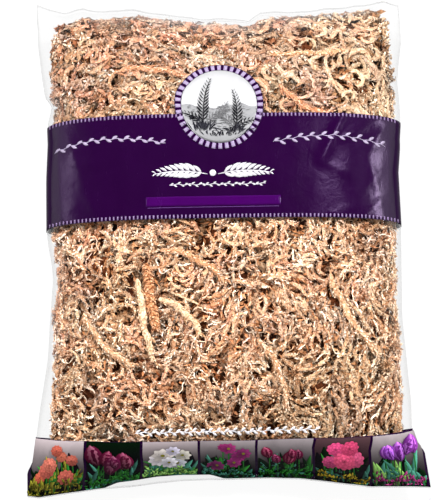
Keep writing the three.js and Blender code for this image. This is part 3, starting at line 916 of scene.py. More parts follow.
def addTitle():
    (lowX, lowY, _), (highX, highY, _) = titleLow, titleHigh
    parts = []
    drawPatch(parts, (lowX, highX, lowY, highY), ink["bright"], ink["bright"], 1)
    addPiece("titleBar", parts, inkFinish("titleInk"), ["title_bar"], thickness=0.08)
    parts = []
    base, inset = lowY - title["lineGap"], title["lineInset"]
    line = (lowX + inset, highX - inset, base - title["line"], base)
    drawPatch(parts, line, ink["underline"], ink["underline"], 1, rows=1)
    middle = (lowX + highX) / 2
    for hand in (1, -1):
        heading = 0.0 if hand > 0 else math.pi
        drawFrond(parts, middle + hand * title["garlandGap"], title["garlandY"] - 2.5,
                  heading + hand * title["garlandRise"], title["garlandHalf"], -hand * title["garlandBend"],
                  9, 9.2, ink["white"], 1, lean=0.85, slim=0.3)
    drawDisc(parts, middle, title["garlandY"] - 1.8, title["budRadius"], ink["white"], 1.4, sides=16)
    drawVine(parts, *title["smallX"], title["smallY"], 0.0, 27, 2.2, ink["white"])
    half = title["vineHalf"]
    for x in title["vineX"]:
        drawVine(parts, x - half, x + half, title["vineY"], title["vineDrop"], 19, 3.9, ink["paleLilac"])
    addPiece("bandGarland", parts, inkFinish("garlandInk"), thickness=ink["drawn"])
    parts = []
    drawVine(parts, *strip["vineX"], strip["high"] + strip["vineGap"], 0.0, 45, 3.0, ink["overMoss"], layer=3)
    addPiece("filmVine", parts, inkFinish("vineInk"), thickness=ink["drawn"])


# the strip along the bottom seal, with its drawn garden

garden = {
    "deepGreen": (0.0012, 0.007, 0.0018),
    "green": (0.016, 0.12, 0.016),
    "blueGreen": (0.035, 0.14, 0.1),
    "lightGreen": (0.17, 0.34, 0.08),
    "olive": (0.13, 0.12, 0.012),
    "shade": (0.0017, 0.0013, 0.0022),
    "dusk": (0.07, 0.034, 0.04),
    "mist": (0.38, 0.32, 0.33),
    "stone": (0.28, 0.24, 0.25),
    "magenta": (0.3, 0.03, 0.15),
    "wine": (0.06, 0.003, 0.018),
    "coral": (0.6, 0.15, 0.09),
    "rose": (0.8, 0.09, 0.22),
    "white": (0.9, 0.87, 0.88),
    "yellow": (0.26, 0.185, 0.015),
    "violet": (0.09, 0.016, 0.12),
    "greens": {
        "far": ("shade", "deepGreen"),
        "dark": ("deepGreen", "green", "blueGreen", "shade"),
        "fresh": ("green", "lightGreen", "blueGreen"),
        "dry": ("olive", "green", "deepGreen", "olive"),
    },
    "panels": [  # ground at the bottom and the top, greens, kind of bloom, colour, radius, count, mound
        ("shade", "mist", "dry", "pompon", "coral", 4.8, 7, "olive"),
        ("shade", "deepGreen", "dark", "tulip", "wine", 14.0, 6, "green"),
        ("shade", "mist", "fresh", "daisy", "white", 6.6, 6, "lightGreen"),
        ("shade", "stone", "dark", "daisy", "magenta", 4.6, 7, "blueGreen"),
        ("shade", "stone", "dark", "tulip", "wine", 12.0, 5, "green"),
        ("shade", "dusk", "dark", "pompon", "rose", 6.4, 5, "yellow"),
        ("shade", "stone", "fresh", "tulip", "violet", 12.0, 5, "magenta"),
    ],
    "farLeaves": (12, 26, 8.0, 0.7, 1.5),  # count, reach, width, spread of the headings, layer
    "nearLeaves": (40, 23, 3.6, 0.75, 3.0),
    "leafShade": (0.3, 1.3, 0.22, 1.7),
    "stalk": 0.7,
    "stalkShade": (0.5, 1.2, 0.6, 1.0),
    "stalkLayer": 3.5,
    "bloomLayers": (4.5, 0.8),
    "blades": 80,
    "bladeLength": (1.2, 3.4),
    "bladeWidth": 1.2,
    "bladeLayer": 8.5,
    "wreaths": [(1.0, 10), (0.72, 8), (0.42, 5)],  # share of a pompon's radius, petals
}


def drawDaisy(parts, x, y, radius, colour, layer, side):
    # eight blunt petals round an olive middle
    turn = np.arange(8) * 2 * np.pi / 8 + x
    tint = np.array(colour) * (0.75 + 0.25 * np.sin(turn + 1))[:, None]
    flat = leaves(x, y, turn, radius, radius * 0.72, steps=4, blunt=0.6)
    drawLeaves(parts, flat, tint, layer, side, (0.5, 1.1, 0.8, 0.9))
    drawDisc(parts, x, y, radius * 0.2, garden["olive"], layer + 0.5, side, rings=1, sides=8)


def drawTulip(parts, x, y, height, colour, layer, side):
    # two petals that bend towards each other, with a paler one before them
    lean = 0.35 * math.sin(3 * x)
    heading = [1.15 + lean, 1.99 + lean, 1.57 + lean]
    flat = leaves(x, y, heading, [height, height, height * 1.05], height * 0.5, [0.5, -0.5, 0.0])
    tints = np.array([colour, colour, np.array(colour) * 2.4 + 0.03])
    drawLeaves(parts, flat, np.clip(tints, 0, 1), layer, side, (0.4, 1.7, 0.5, 1.9))


def drawPompon(parts, x, y, radius, colour, layer, side):
    # a round bloom: wreaths of petals, each petal darker at its root
    for ring, (share, petals) in enumerate(garden["wreaths"]):
        turn = np.arange(petals) * 2 * np.pi / petals + ring * 0.4 + x
        tone = np.array(colour) * ((0.75 + 0.15 * ring) * (0.85 + 0.25 * np.sin(turn)))[:, None]
        flat = leaves(x, y, turn, radius * share, radius * share * 0.8, steps=4, blunt=0.45)
        drawLeaves(parts, flat, np.clip(tone, 0, 1), layer + 0.3 * ring, side, (0.3, 1.15, 0.85, 0.95))


def drawSpray(parts, panelBox, x, y, heading, length, width, bend, tint, layer, side):
    # leaves that end before the edge of their panel: the room left is measured along each heading
    left, right, low, high = panelBox
    across, up = np.cos(heading), np.sin(heading)
    roomX = np.where(across > 0, right - x, x - left) / np.maximum(np.abs(across), 0.01)
    roomY = np.where(up > 0, high - y, y - low) / np.maximum(np.abs(up), 0.01)
    cut = np.minimum(length, 0.93 * np.minimum(roomX, roomY))
    flat = leaves(x, y, heading, cut, np.minimum(width, cut * 0.5), bend)
    flat = np.clip(flat, (left + 0.1, low + 0.1), (right - 0.1, high - 0.1))
    drawLeaves(parts, flat, tint, layer, side, garden["leafShade"])


def drawPanel(parts, look, panelBox, side, random):
    # a panel of the printed garden, from back to front: a ground, dark clumps, broad leaves that are pale
    # along one edge, blooms of uneven sizes on stalks, and a mound of short blades
    left, right, low, high = panelBox
    lowGround, highGround, greens, kind, colour, size, count, mound = look
    base = strip["ground"]
    grounds = (garden[lowGround], garden[highGround])
    drawPatch(parts, panelBox, *grounds, base, side, columns=24, rows=14, power=2.6)
    for name, setting in (("far", garden["farLeaves"]), (greens, garden["nearLeaves"])):
        tones = np.array([garden[green] for green in garden["greens"][name]])
        leafCount, reach, broad, spread, layer = setting
        x = random.uniform(left + 1.6, right - 1.6, leafCount)
        heading = math.pi / 2 + np.clip(random.normal(0, spread, leafCount), -1.3, 1.3)
        length = random.uniform(0.35, 1.0, leafCount) * reach
        tint = tones[random.integers(0, len(tones), leafCount)] * random.uniform(0.5, 1.5, (leafCount, 1))
        width = random.uniform(0.5, 1.0, leafCount) * broad
        bend = random.normal(0, 0.4, leafCount)
        drawSpray(parts, panelBox, x, low + 0.3, heading, length, width, bend, tint, base + layer, side)
    room = size if kind != "tulip" else size * 0.45
    places = (np.arange(count) + random.uniform(0.2, 0.8, count)) / count
    bloomX = places * (right - left - 2 * room) + left + room
    bloomY = random.uniform(low + 7 + 0.3 * size, high - room - 0.6, count)
    stalk = leaves(bloomX, low + 1, math.pi / 2, bloomY - low - 1, garden["stalk"], steps=6, blunt=0.2)
    drawLeaves(parts, stalk, garden["green"], base + garden["stalkLayer"], side, garden["stalkShade"])
    drawBloom = {"daisy": drawDaisy, "tulip": drawTulip, "pompon": drawPompon}[kind]
    first, step = garden["bloomLayers"]
    for order, (x, y) in enumerate(zip(bloomX, bloomY)):
        scale = size * random.uniform(0.6, 1.0)
        tint = np.array(garden[colour]) * random.uniform(0.65, 1.15) * random.uniform(0.85, 1.15, 3)
        drop = scale * 0.5 if kind == "tulip" else 0.0
        drawBloom(parts, x, y - drop, scale, np.clip(tint, 0, 0.9), base + first + step * (order % 4), side)
    blades = garden["blades"]
    x = random.uniform(left + 0.8, right - 0.8, blades)
    heading = math.pi / 2 + random.normal(0, 0.6, blades)
    tint = np.array(garden[mound]) * random.uniform(0.25, 1.9, (blades, 1))
    y = low + 0.3 + random.uniform(0, 4.5, blades) * (1 + 0.6 * np.sin(x * 0.4))
    length = random.uniform(*garden["bladeLength"], blades)
    drawSpray(parts, panelBox, x, y, heading, length, garden["bladeWidth"], 0.0, tint,
              base + garden["bladeLayer"], side)


def addStrip():
    shares, sides = sleeveRing(film["columns"])
    rows = np.linspace(strip["low"], strip["high"], strip["rows"])[:, None]
    y = fitted(shares * halfWidthAt(strip["high"]), rows)
    points = wallPoints(shares, y, sides, ink["lift"] + ink["thickness"])
    faces = gridFaces(strip["rows"], len(shares), wrapped=True)
    addPiece("stripInk", [(points, faces, None)], inkFinish("stripGround", ink["purple"], level=0.04),
             ["printed_strip"], thickness=ink["thickness"])
    random = np.random.default_rng(strip["seed"])
    width = 2 * (halfWidthAt(strip["high"]) - 1.0)
    pitch = width / len(garden["panels"])
    post, margin = strip["post"] / 2, strip["margin"]
    for side, name in ((1, "stripGardenFront"), (-1, "stripGardenBack")):
        parts = []
        for panel, look in enumerate(garden["panels"]):
            left = -width / 2 + panel * pitch
            panelBox = (left + post, left + pitch - post, strip["low"] + margin, strip["high"] - margin)
            drawPanel(parts, look, panelBox, side, random)
        addPiece(name, parts, inkFinish(name, roughness=(0.2, 0.35), level=0.02))


# the moss: seeded strands that lie over one another between its bed and the film

moss = {
    "halfWidth": 106.0,
    "low": -139,
    "high": 144,
    "skin": 1.3,  # between the film and the outermost strands
    "edgeGap": 0.9,
    "topGap": 1.5,
    "lay": 3.0,  # the depth at which places and directions are worked out
    "soft": 5.0,  # how far short of its top edge the moss starts to crowd together
    "sideSoft": 2.6,  # and the same at its sides
    "sideOver": 0.6,
    "bodyGap": 0.9,  # how near to the film a strand may come
    "leafGap": 0.6,
    "backShare": 0.3,  # how dense the back is
    "turnOver": 0.95,  # the share of the half width past which the wall turns over to the back
    "cornerBlend": 70,  # half the way over which one top corner takes over from the other
    "cornerCut": (112, 28, 3.5),  # the sides draw in past this height, over this length and by this much
    "upper": (10, 70),  # the top's own look starts at this height and is full after this length
    "top": [(-106, 135), (-97, 136.5), (-92, 136), (-85, 141), (-68, 141.2), (-59, 142.8), (-41, 143.8),
            (-26, 142.3), (-18, 139.2), (-2, 137), (8, 135), (16, 134.5), (24, 139), (32, 142), (52, 141.2),
            (66, 142), (74, 143), (83, 144.8), (100, 145.5)],
}
patches = {  # size in millimetres and seed of each noise that the tangle follows
    "tone": (34, 3),
    "pink": (13, 8),
    "straw": (40, 9),
    "mauve": (30, 10),
    "heading": (34, 31),
    "sprigHeading": (46, 31),
    "hand": (22, 32),
    "depth": (9, 33),
    "bedLump": (17, 21),
    "bedGrain": (4.5, 22),
}
anyPhase = (0, 6.28)
spiral = 2.4  # the turn from one leaf or branch to the next, in radians


def mossTopAt(x):
    # the top edge of the moss: the listed places, plus two sine waves, short of the film's edge
    ragged = 0.7 * np.sin(x * 0.83) + 0.6 * np.sin(x * 1.7 + 1)
    share = np.clip(x / halfWidthAt(moss["high"]), -1, 1)
    filmEdge = bag["halfLength"] - bag["sealPull"] * (1 - share**2) + between(wrinkles["top"], x)
    return np.minimum(between(moss["top"], x) + ragged, filmEdge - moss["topGap"])


def mossWidthAt(y, share=0.0):
    start, length, cut = moss["cornerCut"]
    return np.minimum(halfWidthAt(y, share) - moss["edgeGap"], moss["halfWidth"]) - cut * ramped(
        np.abs(y), start, length) ** 2


def mossPoint(angle, y, inset):
    # angle runs round the bag: -pi/2 to pi/2 is the front from left to right, the rest is the back
    side = np.where(np.cos(angle) >= 0, 1.0, -1.0)
    share = np.clip(np.sin(angle), -0.9995, 0.9995)

    def height(at):
        return wallPoints(share, at, side, 0.0, False, mossWidthAt)[..., 2]

    slope = height(y + 1.0) - height(y)
    steep = inset * np.sqrt(1 + slope**2)
    points = wallPoints(share, y, side, -steep, False, mossWidthAt)
    points[..., 2] = np.maximum(points[..., 2], bag["floorLift"] + inset)
    return points


nudge = {"angle": 0.02, "y": 0.5}  # steps for measuring directions and lengths on the moss


def mossFrame(angle, y, inset):
    # the point, and unit vectors round the bag, along it and out of it
    here = mossPoint(angle, y, inset)
    across = unit(mossPoint(angle + nudge["angle"], y, inset) - here)
    along = unit(mossPoint(angle, y + nudge["y"], inset) - here)
    out = unit(np.cross(across, along))
    return here, across, unit(np.cross(out, across)), out


def walk(angle, y, heading, length, steps, bend, wobble):
    # a path over the moss in equal strides, turning by bend in all; headings are in degrees
    path = [(angle, y)]
    stride = length / steps
    for k in range(steps):
        turn = np.radians(heading + bend * k / steps + wobble * np.sin(k * 1.9))
        here = mossPoint(angle, y, moss["lay"])
        beside = mossPoint(angle + nudge["angle"], y, moss["lay"])
        ahead = mossPoint(angle, y + nudge["y"], moss["lay"])
        perRadian = np.linalg.norm(beside - here, axis=-1) / nudge["angle"]
        perHeight = np.linalg.norm(ahead - here, axis=-1) / nudge["y"]
        angle = angle + stride * np.cos(turn) / np.maximum(perRadian, 12)
        y = np.clip(y + stride * np.sin(turn) / np.maximum(perHeight, 1), moss["low"], moss["high"])
        path.append((angle, y))
    return np.stack([p[0] for p in path], axis=-1), np.stack([p[1] for p in path], axis=-1)


def smoothed(values, count):
    # resamples each row on a Catmull-Rom curve through its values
    n = values.shape[-1]
    before = 2 * values[..., :1] - values[..., 1:2]
    after = 2 * values[..., -1:] - values[..., -2:-1]
    padded = np.concatenate([before, values, after], axis=-1)
    at = np.linspace(0, n - 1, count)
    k = np.minimum(at.astype(int), n - 2)
    t = at - k
    p0, p1, p2, p3 = (padded[..., k + offset] for offset in range(4))
    square, cube = 2 * p0 - 5 * p1 + 4 * p2 - p3, 3 * p1 - p0 - 3 * p2 + p3
    return 0.5 * (2 * p1 + (p2 - p0) * t + square * t**2 + cube * t**3)


def waveNoise(points, size, seed):
    # smooth noise about -1 to 1: a sum of sine waves in seeded directions, about size long
    random = np.random.default_rng(seed)
    total = np.zeros(points.shape[:-1])
    for _ in range(9):
        direction = unit(random.normal(size=3)) * 2 * np.pi / (size * random.uniform(0.7, 1.7))
        total += np.sin(points @ direction + random.uniform(0, 2 * np.pi))
    return total / 3.0


def scatter(count, random, backShare=moss["backShare"]):
    # stratified places (angle, y), even over the moss's skin but thinner on the back by backShare
    angle = np.linspace(-np.pi / 2, 1.5 * np.pi, 361)[:-1]
    y = np.linspace(moss["low"], moss["high"], 281)
    grid = np.meshgrid(y, angle, indexing="ij")
    points = mossPoint(grid[1], grid[0], moss["lay"])
    across = np.linalg.norm(np.roll(points, -1, axis=1) - points, axis=-1)
    weight = across * np.where(np.cos(grid[1]) >= 0, 1.0, backShare)
    total = np.cumsum(weight.ravel())
    draws = (np.arange(count) + random.random(count)) / count * total[-1]
    index = np.minimum(np.searchsorted(total, draws), total.size - 1)
    jitter = random.uniform(-0.5, 0.5, (2, count))
    return (angle[index % len(angle)] + jitter[0] * np.pi / 180,
            np.clip(y[index // len(angle)] + jitter[1], moss["low"], moss["high"]))


def topShare(y):
    # 0 up to the band's middle, rising to 1 towards the top
    return ramped(y, *moss["upper"])


def cornerShare(x, y, hand):
    # the share of a top corner's own strands: hand is -1 for the left corner and 1 for the right one, and
    # both have half in the middle. None are made where the wall turns over to the back
    inside = np.abs(x) < moss["turnOver"] * mossWidthAt(y, np.sign(x))
    return topShare(y) * np.clip(0.5 + hand * x / moss["cornerBlend"], 0, 1) * inside


palette = {
    "tones": np.array([(0.18, 0.065, 0.026), (0.5, 0.25, 0.14), (0.74, 0.46, 0.3), (0.84, 0.59, 0.43),
                       (0.88, 0.69, 0.55), (0.88, 0.77, 0.66)]),
    "drift": 0.1,  # how much tones differ from patch to patch
    "spread": 0.13,  # and from strand to strand
    "deepen": np.array((0.85, 1.4, 1.9)),  # painted shade falls faster in green and blue, as light bounced between pale strands is redder
    "pink": (0.86, 0.43, 0.32),
    "straw": (0.84, 0.69, 0.5),
    "mauve": (0.5, 0.37, 0.34),
    "pinkShares": (0.02, 0.16, 0.3, 0.22),  # everywhere, towards the top left, by patches, by strands
    "strawShares": (0.1, -0.25, 0.4, 0.3),  # everywhere, towards the top left and right, by patches
    "mauveShares": (0.5, 0.28),  # by patches, over a threshold
    "darkGoal": 0.42,  # how bright those three are on the darkest strands
    "goalGain": 0.7,  # and how much brighter on the palest
    "lampStart": 10,  # painted shade: the lamps stand over the top end, so the strands are painted darker there in turn
    "lampLength": 60,
    "lampShade": 0.36,
    "cool": (0.95, 1.02, 1.08),
    # painted shade: the dark brown of the shade deep in the tangle
    "shadeBed": np.array((0.055, 0.016, 0.006)),
}


def strandTints(places, random, tone, spread=palette["spread"]):
    # a tone from dark to pale for each strand, drawn towards pink, straw or mauve in patches
    x, y, count = places[:, 0], places[:, 1], len(places)

    def noise(name):
        return waveNoise(places, *patches[name])

    value = tone + palette["drift"] * noise("tone") + spread * random.normal(size=count)
    stops = np.linspace(0, 1, len(palette["tones"]))
    tint = np.stack([np.interp(value, stops, palette["tones"][:, c]) for c in range(3)], axis=-1)
    leftTop = (y - x * 0.6) / 160
    base, left, patch, strand = palette["pinkShares"]
    pink = base + left * leftTop + patch * noise("pink") + strand * random.normal(size=count)
    rightTop = topShare(y) * ramped(x, 0, 70)
    base, left, right, patch = palette["strawShares"]
    straw = base + left * leftTop + right * rightTop + patch * noise("straw")
    patch, threshold = palette["mauveShares"]
    mauve = patch * noise("mauve") - threshold
    # painted shade: darker towards the top end, to offset the lamps over it
    lampShare = palette["lampShade"] * ramped(y, palette["lampStart"], palette["lampLength"])
    tint = tint * (1 - lampShare)[:, None]
    bright = (palette["darkGoal"] + palette["goalGain"] * np.clip(value, 0, 1))[:, None]
    for colour, share, most in (("pink", pink, 0.6), ("straw", straw, 0.6), ("mauve", mauve, 0.5)):
        share = np.clip(share, 0, most)[:, None]
        tint = tint * (1 - share) + np.array(palette[colour]) * bright * share
    return tint * palette["cool"]


def facingOut(points, faces):
    # turns the faces round if the shape's signed volume is below 0
    a, b, c = (points[faces[:, i]] - points.mean(axis=0) for i in range(3))
    return faces if (np.cross(a, b) * c).sum() > 0 else faces[:, ::-1]


def pathFrame(paths, ups):
    # unit vectors along paths (n, k, 3), up from them and across them
    along = unit(np.gradient(paths, axis=1))
    up = unit(ups - (ups * along).sum(-1, keepdims=True) * along)
    return along, up, np.cross(along, up)


def tubes(paths, radii, ups, sides, flat, twist, lumps):
    # rods along paths (n, k, 3): a ring of a few sides at each inner point, and a tip at both ends
    n, k, _ = paths.shape
    _, up, across = pathFrame(paths, ups)
    turn = np.arange(sides) * 2 * np.pi / sides + twist[..., None]
    ring = up[:, :, None] * (flat * np.cos(turn))[..., None] + across[:, :, None] * np.sin(turn)[..., None]
    points = paths[:, :, None] + radii[:, :, None, None] * lumps * ring
    inner = points[:, 1:-1].reshape(n, (k - 2) * sides, 3)
    allPoints = np.concatenate([paths[:, :1], inner, paths[:, -1:]], axis=1)
    size = allPoints.shape[1]
    quads = gridFaces(k - 2, sides, wrapped=True) + 1
    walls = np.concatenate([quads[:, [0, 1, 2]], quads[:, [0, 2, 3]]])
    i = np.arange(sides)
    lastRing = size - 1 - sides
    first = np.stack([0 * i, (i + 1) % sides + 1, i + 1], axis=-1)
    last = np.stack([0 * i + size - 1, lastRing + i, lastRing + (i + 1) % sides], axis=-1)
    faces = np.concatenate([walls, first, last])
    return allPoints, facingOut(allPoints[0], faces)


def pointedLeaves(roots, directions, normals, lengths, widths):
    # small pointed leaves: four points and four faces each, thin along their normal
    across = unit(np.cross(directions, normals))
    half = (widths / 2)[..., None]
    bulge = roots + directions * (lengths * 0.3)[..., None]
    points = np.stack([
        roots - directions * (lengths * 0.12)[..., None],
        bulge + across * half + normals * half * 0.35,
        bulge - across * half + normals * half * 0.35,
        roots + directions * lengths[..., None] + normals * half * 0.5,
    ], axis=-2)
    points[..., 0, :] -= normals * half * 0.5
    flat = points.reshape(-1, 4, 3)
    return flat, facingOut(flat[0], np.array([[0, 2, 1], [1, 2, 3], [0, 1, 3], [0, 3, 2]]))


def softened(way, start, soft):
    # up to start the way is kept, and past it what is left shrinks to soft x (1 - e^(-rest / soft))
    return soft * (1 - np.exp(-np.clip(way - start, 0, 60) / soft))


def pressedIn(points, gap):
    # where a point lies past the film, or nearer to it than the gap, it moves back inside
    x, y, z = points[..., 0], points[..., 1], points[..., 2]
    start = mossTopAt(x) - moss["soft"]
    y = np.where(y > start, start + softened(y, start, moss["soft"]), y)
    y = np.maximum(y, moss["low"])
    way = np.abs(x)
    start = mossWidthAt(y, np.sign(x)) - moss["sideSoft"] + moss["sideOver"]
    wide = np.minimum(way, start) + softened(way, start, moss["sideSoft"])
    x = np.sign(x) * np.minimum(wide, halfWidthAt(y, np.sign(x)) - moss["edgeGap"])
    share = x / halfWidthAt(y, np.sign(x))
    flatY = y + bag["sealPull"] * (1 - share**2) * (y / bag["halfLength"]) ** 3
    front = wallPoints(share, flatY, 1, 0.0)[..., 2] - gap
    back = wallPoints(share, flatY, -1, 0.0)[..., 2] + gap
    middle = (front + back) / 2
    z = np.clip(z, np.minimum(back, middle), np.maximum(front, middle))
    return np.stack([x, y, z], axis=-1)


def strandBodies(paths, radii, ups, sides, tints, random, flat, rootShade, darkest):
    # lumpy tubes, a random tone at each point, painted darker as shade under leaves and towards roots
    n, k, _ = paths.shape
    lumps = random.uniform(0.7, 1.35, (n, k, sides, 1))
    twist = random.uniform(0, 6, (n, k)) * 0.15
    points, faces = tubes(paths, radii, ups, sides, flat, twist, lumps)
    size = points.shape[1]
    ring = np.concatenate([[0], np.repeat(np.linspace(0, 1, k - 2), sides), [1]])
    shade = (darkest + 0.25 * random.random((n, size, 1))) * (rootShade + (1 - rootShade) * ring[:, None])
    tint = tints[:, None] * shade ** palette["deepen"]
    points = pressedIn(points.reshape(-1, 3), moss["bodyGap"])
    return points, tiled(faces, n, size), tint.reshape(-1, 3)


def strandLeaves(paths, radii, ups, leafSizes, tints, random, flat, lean, rootShade):
    # leaves in a spiral round each path, which lean along it
    n, k, _ = paths.shape
    count, leafLength, leafWidth = leafSizes
    along, up, across = pathFrame(paths, ups)
    at = (np.arange(count) + random.random((n, count))) / count * (k - 1.6) + 0.3
    low = np.minimum(at.astype(int), k - 2)
    part = (at - low)[..., None]
    row = np.arange(n)[:, None]
    centre = paths[row, low] * (1 - part) + paths[row, low + 1] * part
    radius = radii[row, low] * (1 - part[..., 0]) + radii[row, low + 1] * part[..., 0]
    turn = np.arange(count) * spiral + random.uniform(*anyPhase, (n, 1)) + random.normal(0, 0.4, (n, count))
    out = unit(up[row, low] * (flat * np.cos(turn))[..., None] + across[row, low] * np.sin(turn)[..., None])
    opening = lean * random.uniform(0.5, 1.4, (n, count))[..., None]
    direction = unit(along[row, low] * np.cos(opening) + out * np.sin(opening))
    normal = unit(out * np.cos(opening) - along[row, low] * np.sin(opening))
    length = leafLength * random.uniform(0.6, 1.3, (n, count))
    width = leafWidth * random.uniform(0.7, 1.3, (n, count))
    points, faces = pointedLeaves(centre + out * radius[..., None] * 0.75, direction, normal, length, width)
    # painted shade at each leaf's root and towards the path's root; slightly paler at a leaf's tip
    tone = (0.8 + 0.34 * random.random((n, count, 1, 1))) * np.array([0.5, 1, 0.92, 1.06])[:, None]
    tone = (tone * (rootShade + (1 - rootShade) * at / (k - 1))[:, :, None, None]) ** palette["deepen"]
    tint = (tints[:, None, None] * tone).reshape(-1, 3)
    return pressedIn(points.reshape(-1, 3), moss["leafGap"]), tiled(faces, len(points), 4), tint


def leafyStrands(paths, radii, ups, sides, leafSizes, tints, random, flat=0.8, lean=0.7, rootShade=1.0,
                 darkest=None):
    # tubes with leaves, the tubes painted darker than their leaves as shade; the tint rises from rootShade,
    # painted shade at the start of a path, to 1 at its tip, and leafSizes are the leaves' number, length and
    # width
    leafCount = leafSizes[0]
    if not darkest:
        darkest = 0.48 if leafCount > 4 else 0.85  # painted shade: a stem under close leaves lies in their shade
    parts = [strandBodies(paths, radii, ups, sides, tints, random, flat, rootShade, darkest)]
    if leafCount:
        parts.append(strandLeaves(paths, radii, ups, leafSizes, tints, random, flat, lean, rootShade))
    return parts


# the inside of the mass, painted dark as shade in the gaps

shadeBed = {
    "columns": 120,
    "rows": 72,
    "inset": 8.5,
    "least": 3.5,
    "lump": 2.2,
    "grain": 1.1,
    "ends": (5, 6),  # how far it stops short of the moss's bottom and top
    "taper": 12,
}


def addShadeBed():
    # the moss's own form, further in, with lumps and a grain of sine-wave noise; painted dark as shade
    rows = np.linspace(-1, 1, shadeBed["rows"] + 1)
    angle = np.linspace(-np.pi / 2, 1.5 * np.pi, shadeBed["columns"], endpoint=False)
    bottom, top = shadeBed["ends"]
    y = np.interp(rows, (-1, 1), (moss["low"] + bottom, moss["high"] - top))[:, None] + 0 * angle
    turn = angle + 0 * y
    base = mossPoint(turn, y, shadeBed["inset"])
    depth = shadeBed["lump"] * waveNoise(base, *patches["bedLump"]) + shadeBed["grain"] * waveNoise(
        base, *patches["bedGrain"])
    points = mossPoint(turn, y, np.maximum(shadeBed["inset"] + depth, shadeBed["least"]))
    taper = np.clip((1 - np.abs(rows)) * shadeBed["taper"], 0, 1)[:, None] ** 0.5
    seam = seamHeightAt(points[..., 0], y)
    points[..., 2] = seam + (points[..., 2] - seam) * taper
    faces = gridFaces(len(rows), shadeBed["columns"], wrapped=True)
    # painted shade: darker where the lumps sink further in
    tint = palette["shadeBed"] * (1.0 - 0.35 * np.clip(depth / 3, -1, 1))[..., None]
    addPiece("mossShadeBed", [(points.reshape(-1, 3), faces, tint.reshape(-1, 3))], mossFinish("mossShadeBed", 0.5),
             ["moss_mass"], weld=0.01)


# curled strands: depth is from the outermost lay, turn in degrees, and missing or corner says where they grow

shoot = {
    "seed": 51,
    "count": 1300,
    "tone": 0.6,
    "missing": (0.4, 0.5),
    "depth": (2.6, 5.0),
    "length": (9.0, 20.0),
    "radius": (1.2, 2.2),
    "turn": (10, 120),
    "rings": 6,
    "sides": 5,
    "leaves": (12, 3.0, 1.4),  # number, length and width
    "lean": 0.42,
}
middle = {
    "seed": 53,
    "count": 1480,
    "tone": 0.7,
    "missing": (0.6, 0.75),
    "depth": (1.2, 3.0),
    "length": (9.0, 21.0),
    "radius": (0.85, 1.6),
    "turn": (30, 190),
    "rings": 8,
    "sides": 5,
    "leaves": (17, 3.1, 0.95),
    "lean": 0.36,
}
rope = {
    "seed": 54,
    "count": 1480,
    "tone": 0.75,
    "missing": (0.65, 0.8),
    "depth": (0.0, 1.5),
    "length": (8.0, 20.0),
    "radius": (0.75, 1.4),
    "turn": (30, 200),
    "rings": 8,
    "sides": 5,
    "leaves": (18, 3.0, 0.9),
    "lean": 0.36,
}
wisp = {
    "seed": 55,
    "count": 1400,
    "tone": 0.72,
    "missing": (0.8, 0.8),
    "depth": (0.0, 2.0),
    "length": (4.0, 9.0),
    "radius": (0.35, 0.7),
    "turn": (20, 130),
    "rings": 5,
    "sides": 3,
    "leaves": (4, 2.2, 1.1),
    "lean": 0.5,
}
flake = {
    "seed": 57,
    "count": 3400,
    "finish": "flake",
    "tone": 0.62,
    "corner": -1,
    "depth": (0.0, 3.4),
    "length": (6.0, 14.0),
    "radius": (1.0, 2.1),
    "flat": 0.32,
    "roll": 0.6,
    "turn": (20, 190),
    "rings": 7,
    "sides": 5,
    "leaves": (7, 2.6, 0.7),
    "lean": 0.4,
    "darkest": 0.55,
}
ribbon = {
    "seed": 58,
    "count": 1900,
    "finish": "flake",
    "tone": 0.58,
    "corner": 1,
    "depth": (-0.2, 2.6),
    "length": (12.0, 27.0),
    "radius": (1.1, 1.9),
    "flat": 0.6,
    "roll": 0.3,
    "turn": (60, 260),
    "rings": 11,
    "sides": 6,
    "leaves": (15, 2.8, 0.5),
    "lean": 0.25,
    "darkest": 0.66,
}
tangle = {  # what all the curled strands share
    "hollows": 0.5,  # depth of the noise's hollows
    "drift": 2.6,  # how far headings turn from place to place, in radians
    "stray": 0.7,  # and from strand to strand
    "upright": (10, 30),  # below this distance under the middle, over this length, strands run up and down
    "uprightRight": (-25, 30),  # but only right of here
    "uprightHold": 0.68,  # how much less headings differ there
    "uprightTurn": 0.3,  # and how much less the strands curl
    "sCurve": 0.7,
    "tilt": 0.22,
    "arch": (-0.6, 1.3),
    "wiggle": 0.22,
    "lumps": (0.72, 1.28),
    "paintedDepthShade": (1.6, 0.15),  # the tone over the skin, and how much darker it is painted for each millimetre of depth, as shade
    "toneRange": (0.25, 1.15),
}
trough = {"depth": 3.4, "start": 1.33, "fall": 5.4}


def troughDepth(places):
    # how much deeper what lies next to a long stem is: depth x (start - way / fall), held between 0 and 1
    gap = np.linalg.norm(places[:, None] - stemPoints[None], axis=-1).min(axis=1)
    return trough["depth"] * np.clip(trough["start"] - gap / trough["fall"], 0, 1)


def grown(setting, places, y, random):
    # some kinds grow in one top corner only, of others a share is missing in each top corner
    drawn = random.random(len(y))
    x = places[:, 0]
    if "corner" in setting:
        return drawn < cornerShare(x, y, setting["corner"])
    left, right = setting["missing"]
    return drawn > left * cornerShare(x, y, -1) + right * cornerShare(x, y, 1)


def curlHeadings(setting, places, y, random):
    # headings drift with the place, but in the lower right most strands run up and down; returned with the
    # turn of each strand from its start to its end
    count = len(y)
    upright = ramped(-y, *tangle["upright"]) * ramped(places[:, 0], *tangle["uprightRight"])
    drift = tangle["drift"] * waveNoise(places, *patches["heading"])
    heading = drift + random.normal(0, tangle["stray"], count)
    heading = heading * (1 - tangle["uprightHold"] * upright) + np.pi / 2 * upright
    turn = np.radians(random.uniform(*setting["turn"], count)) * (1 - tangle["uprightTurn"] * upright)
    return heading, turn * np.sign(waveNoise(places, *patches["hand"]) + random.normal(0, 0.5, count))


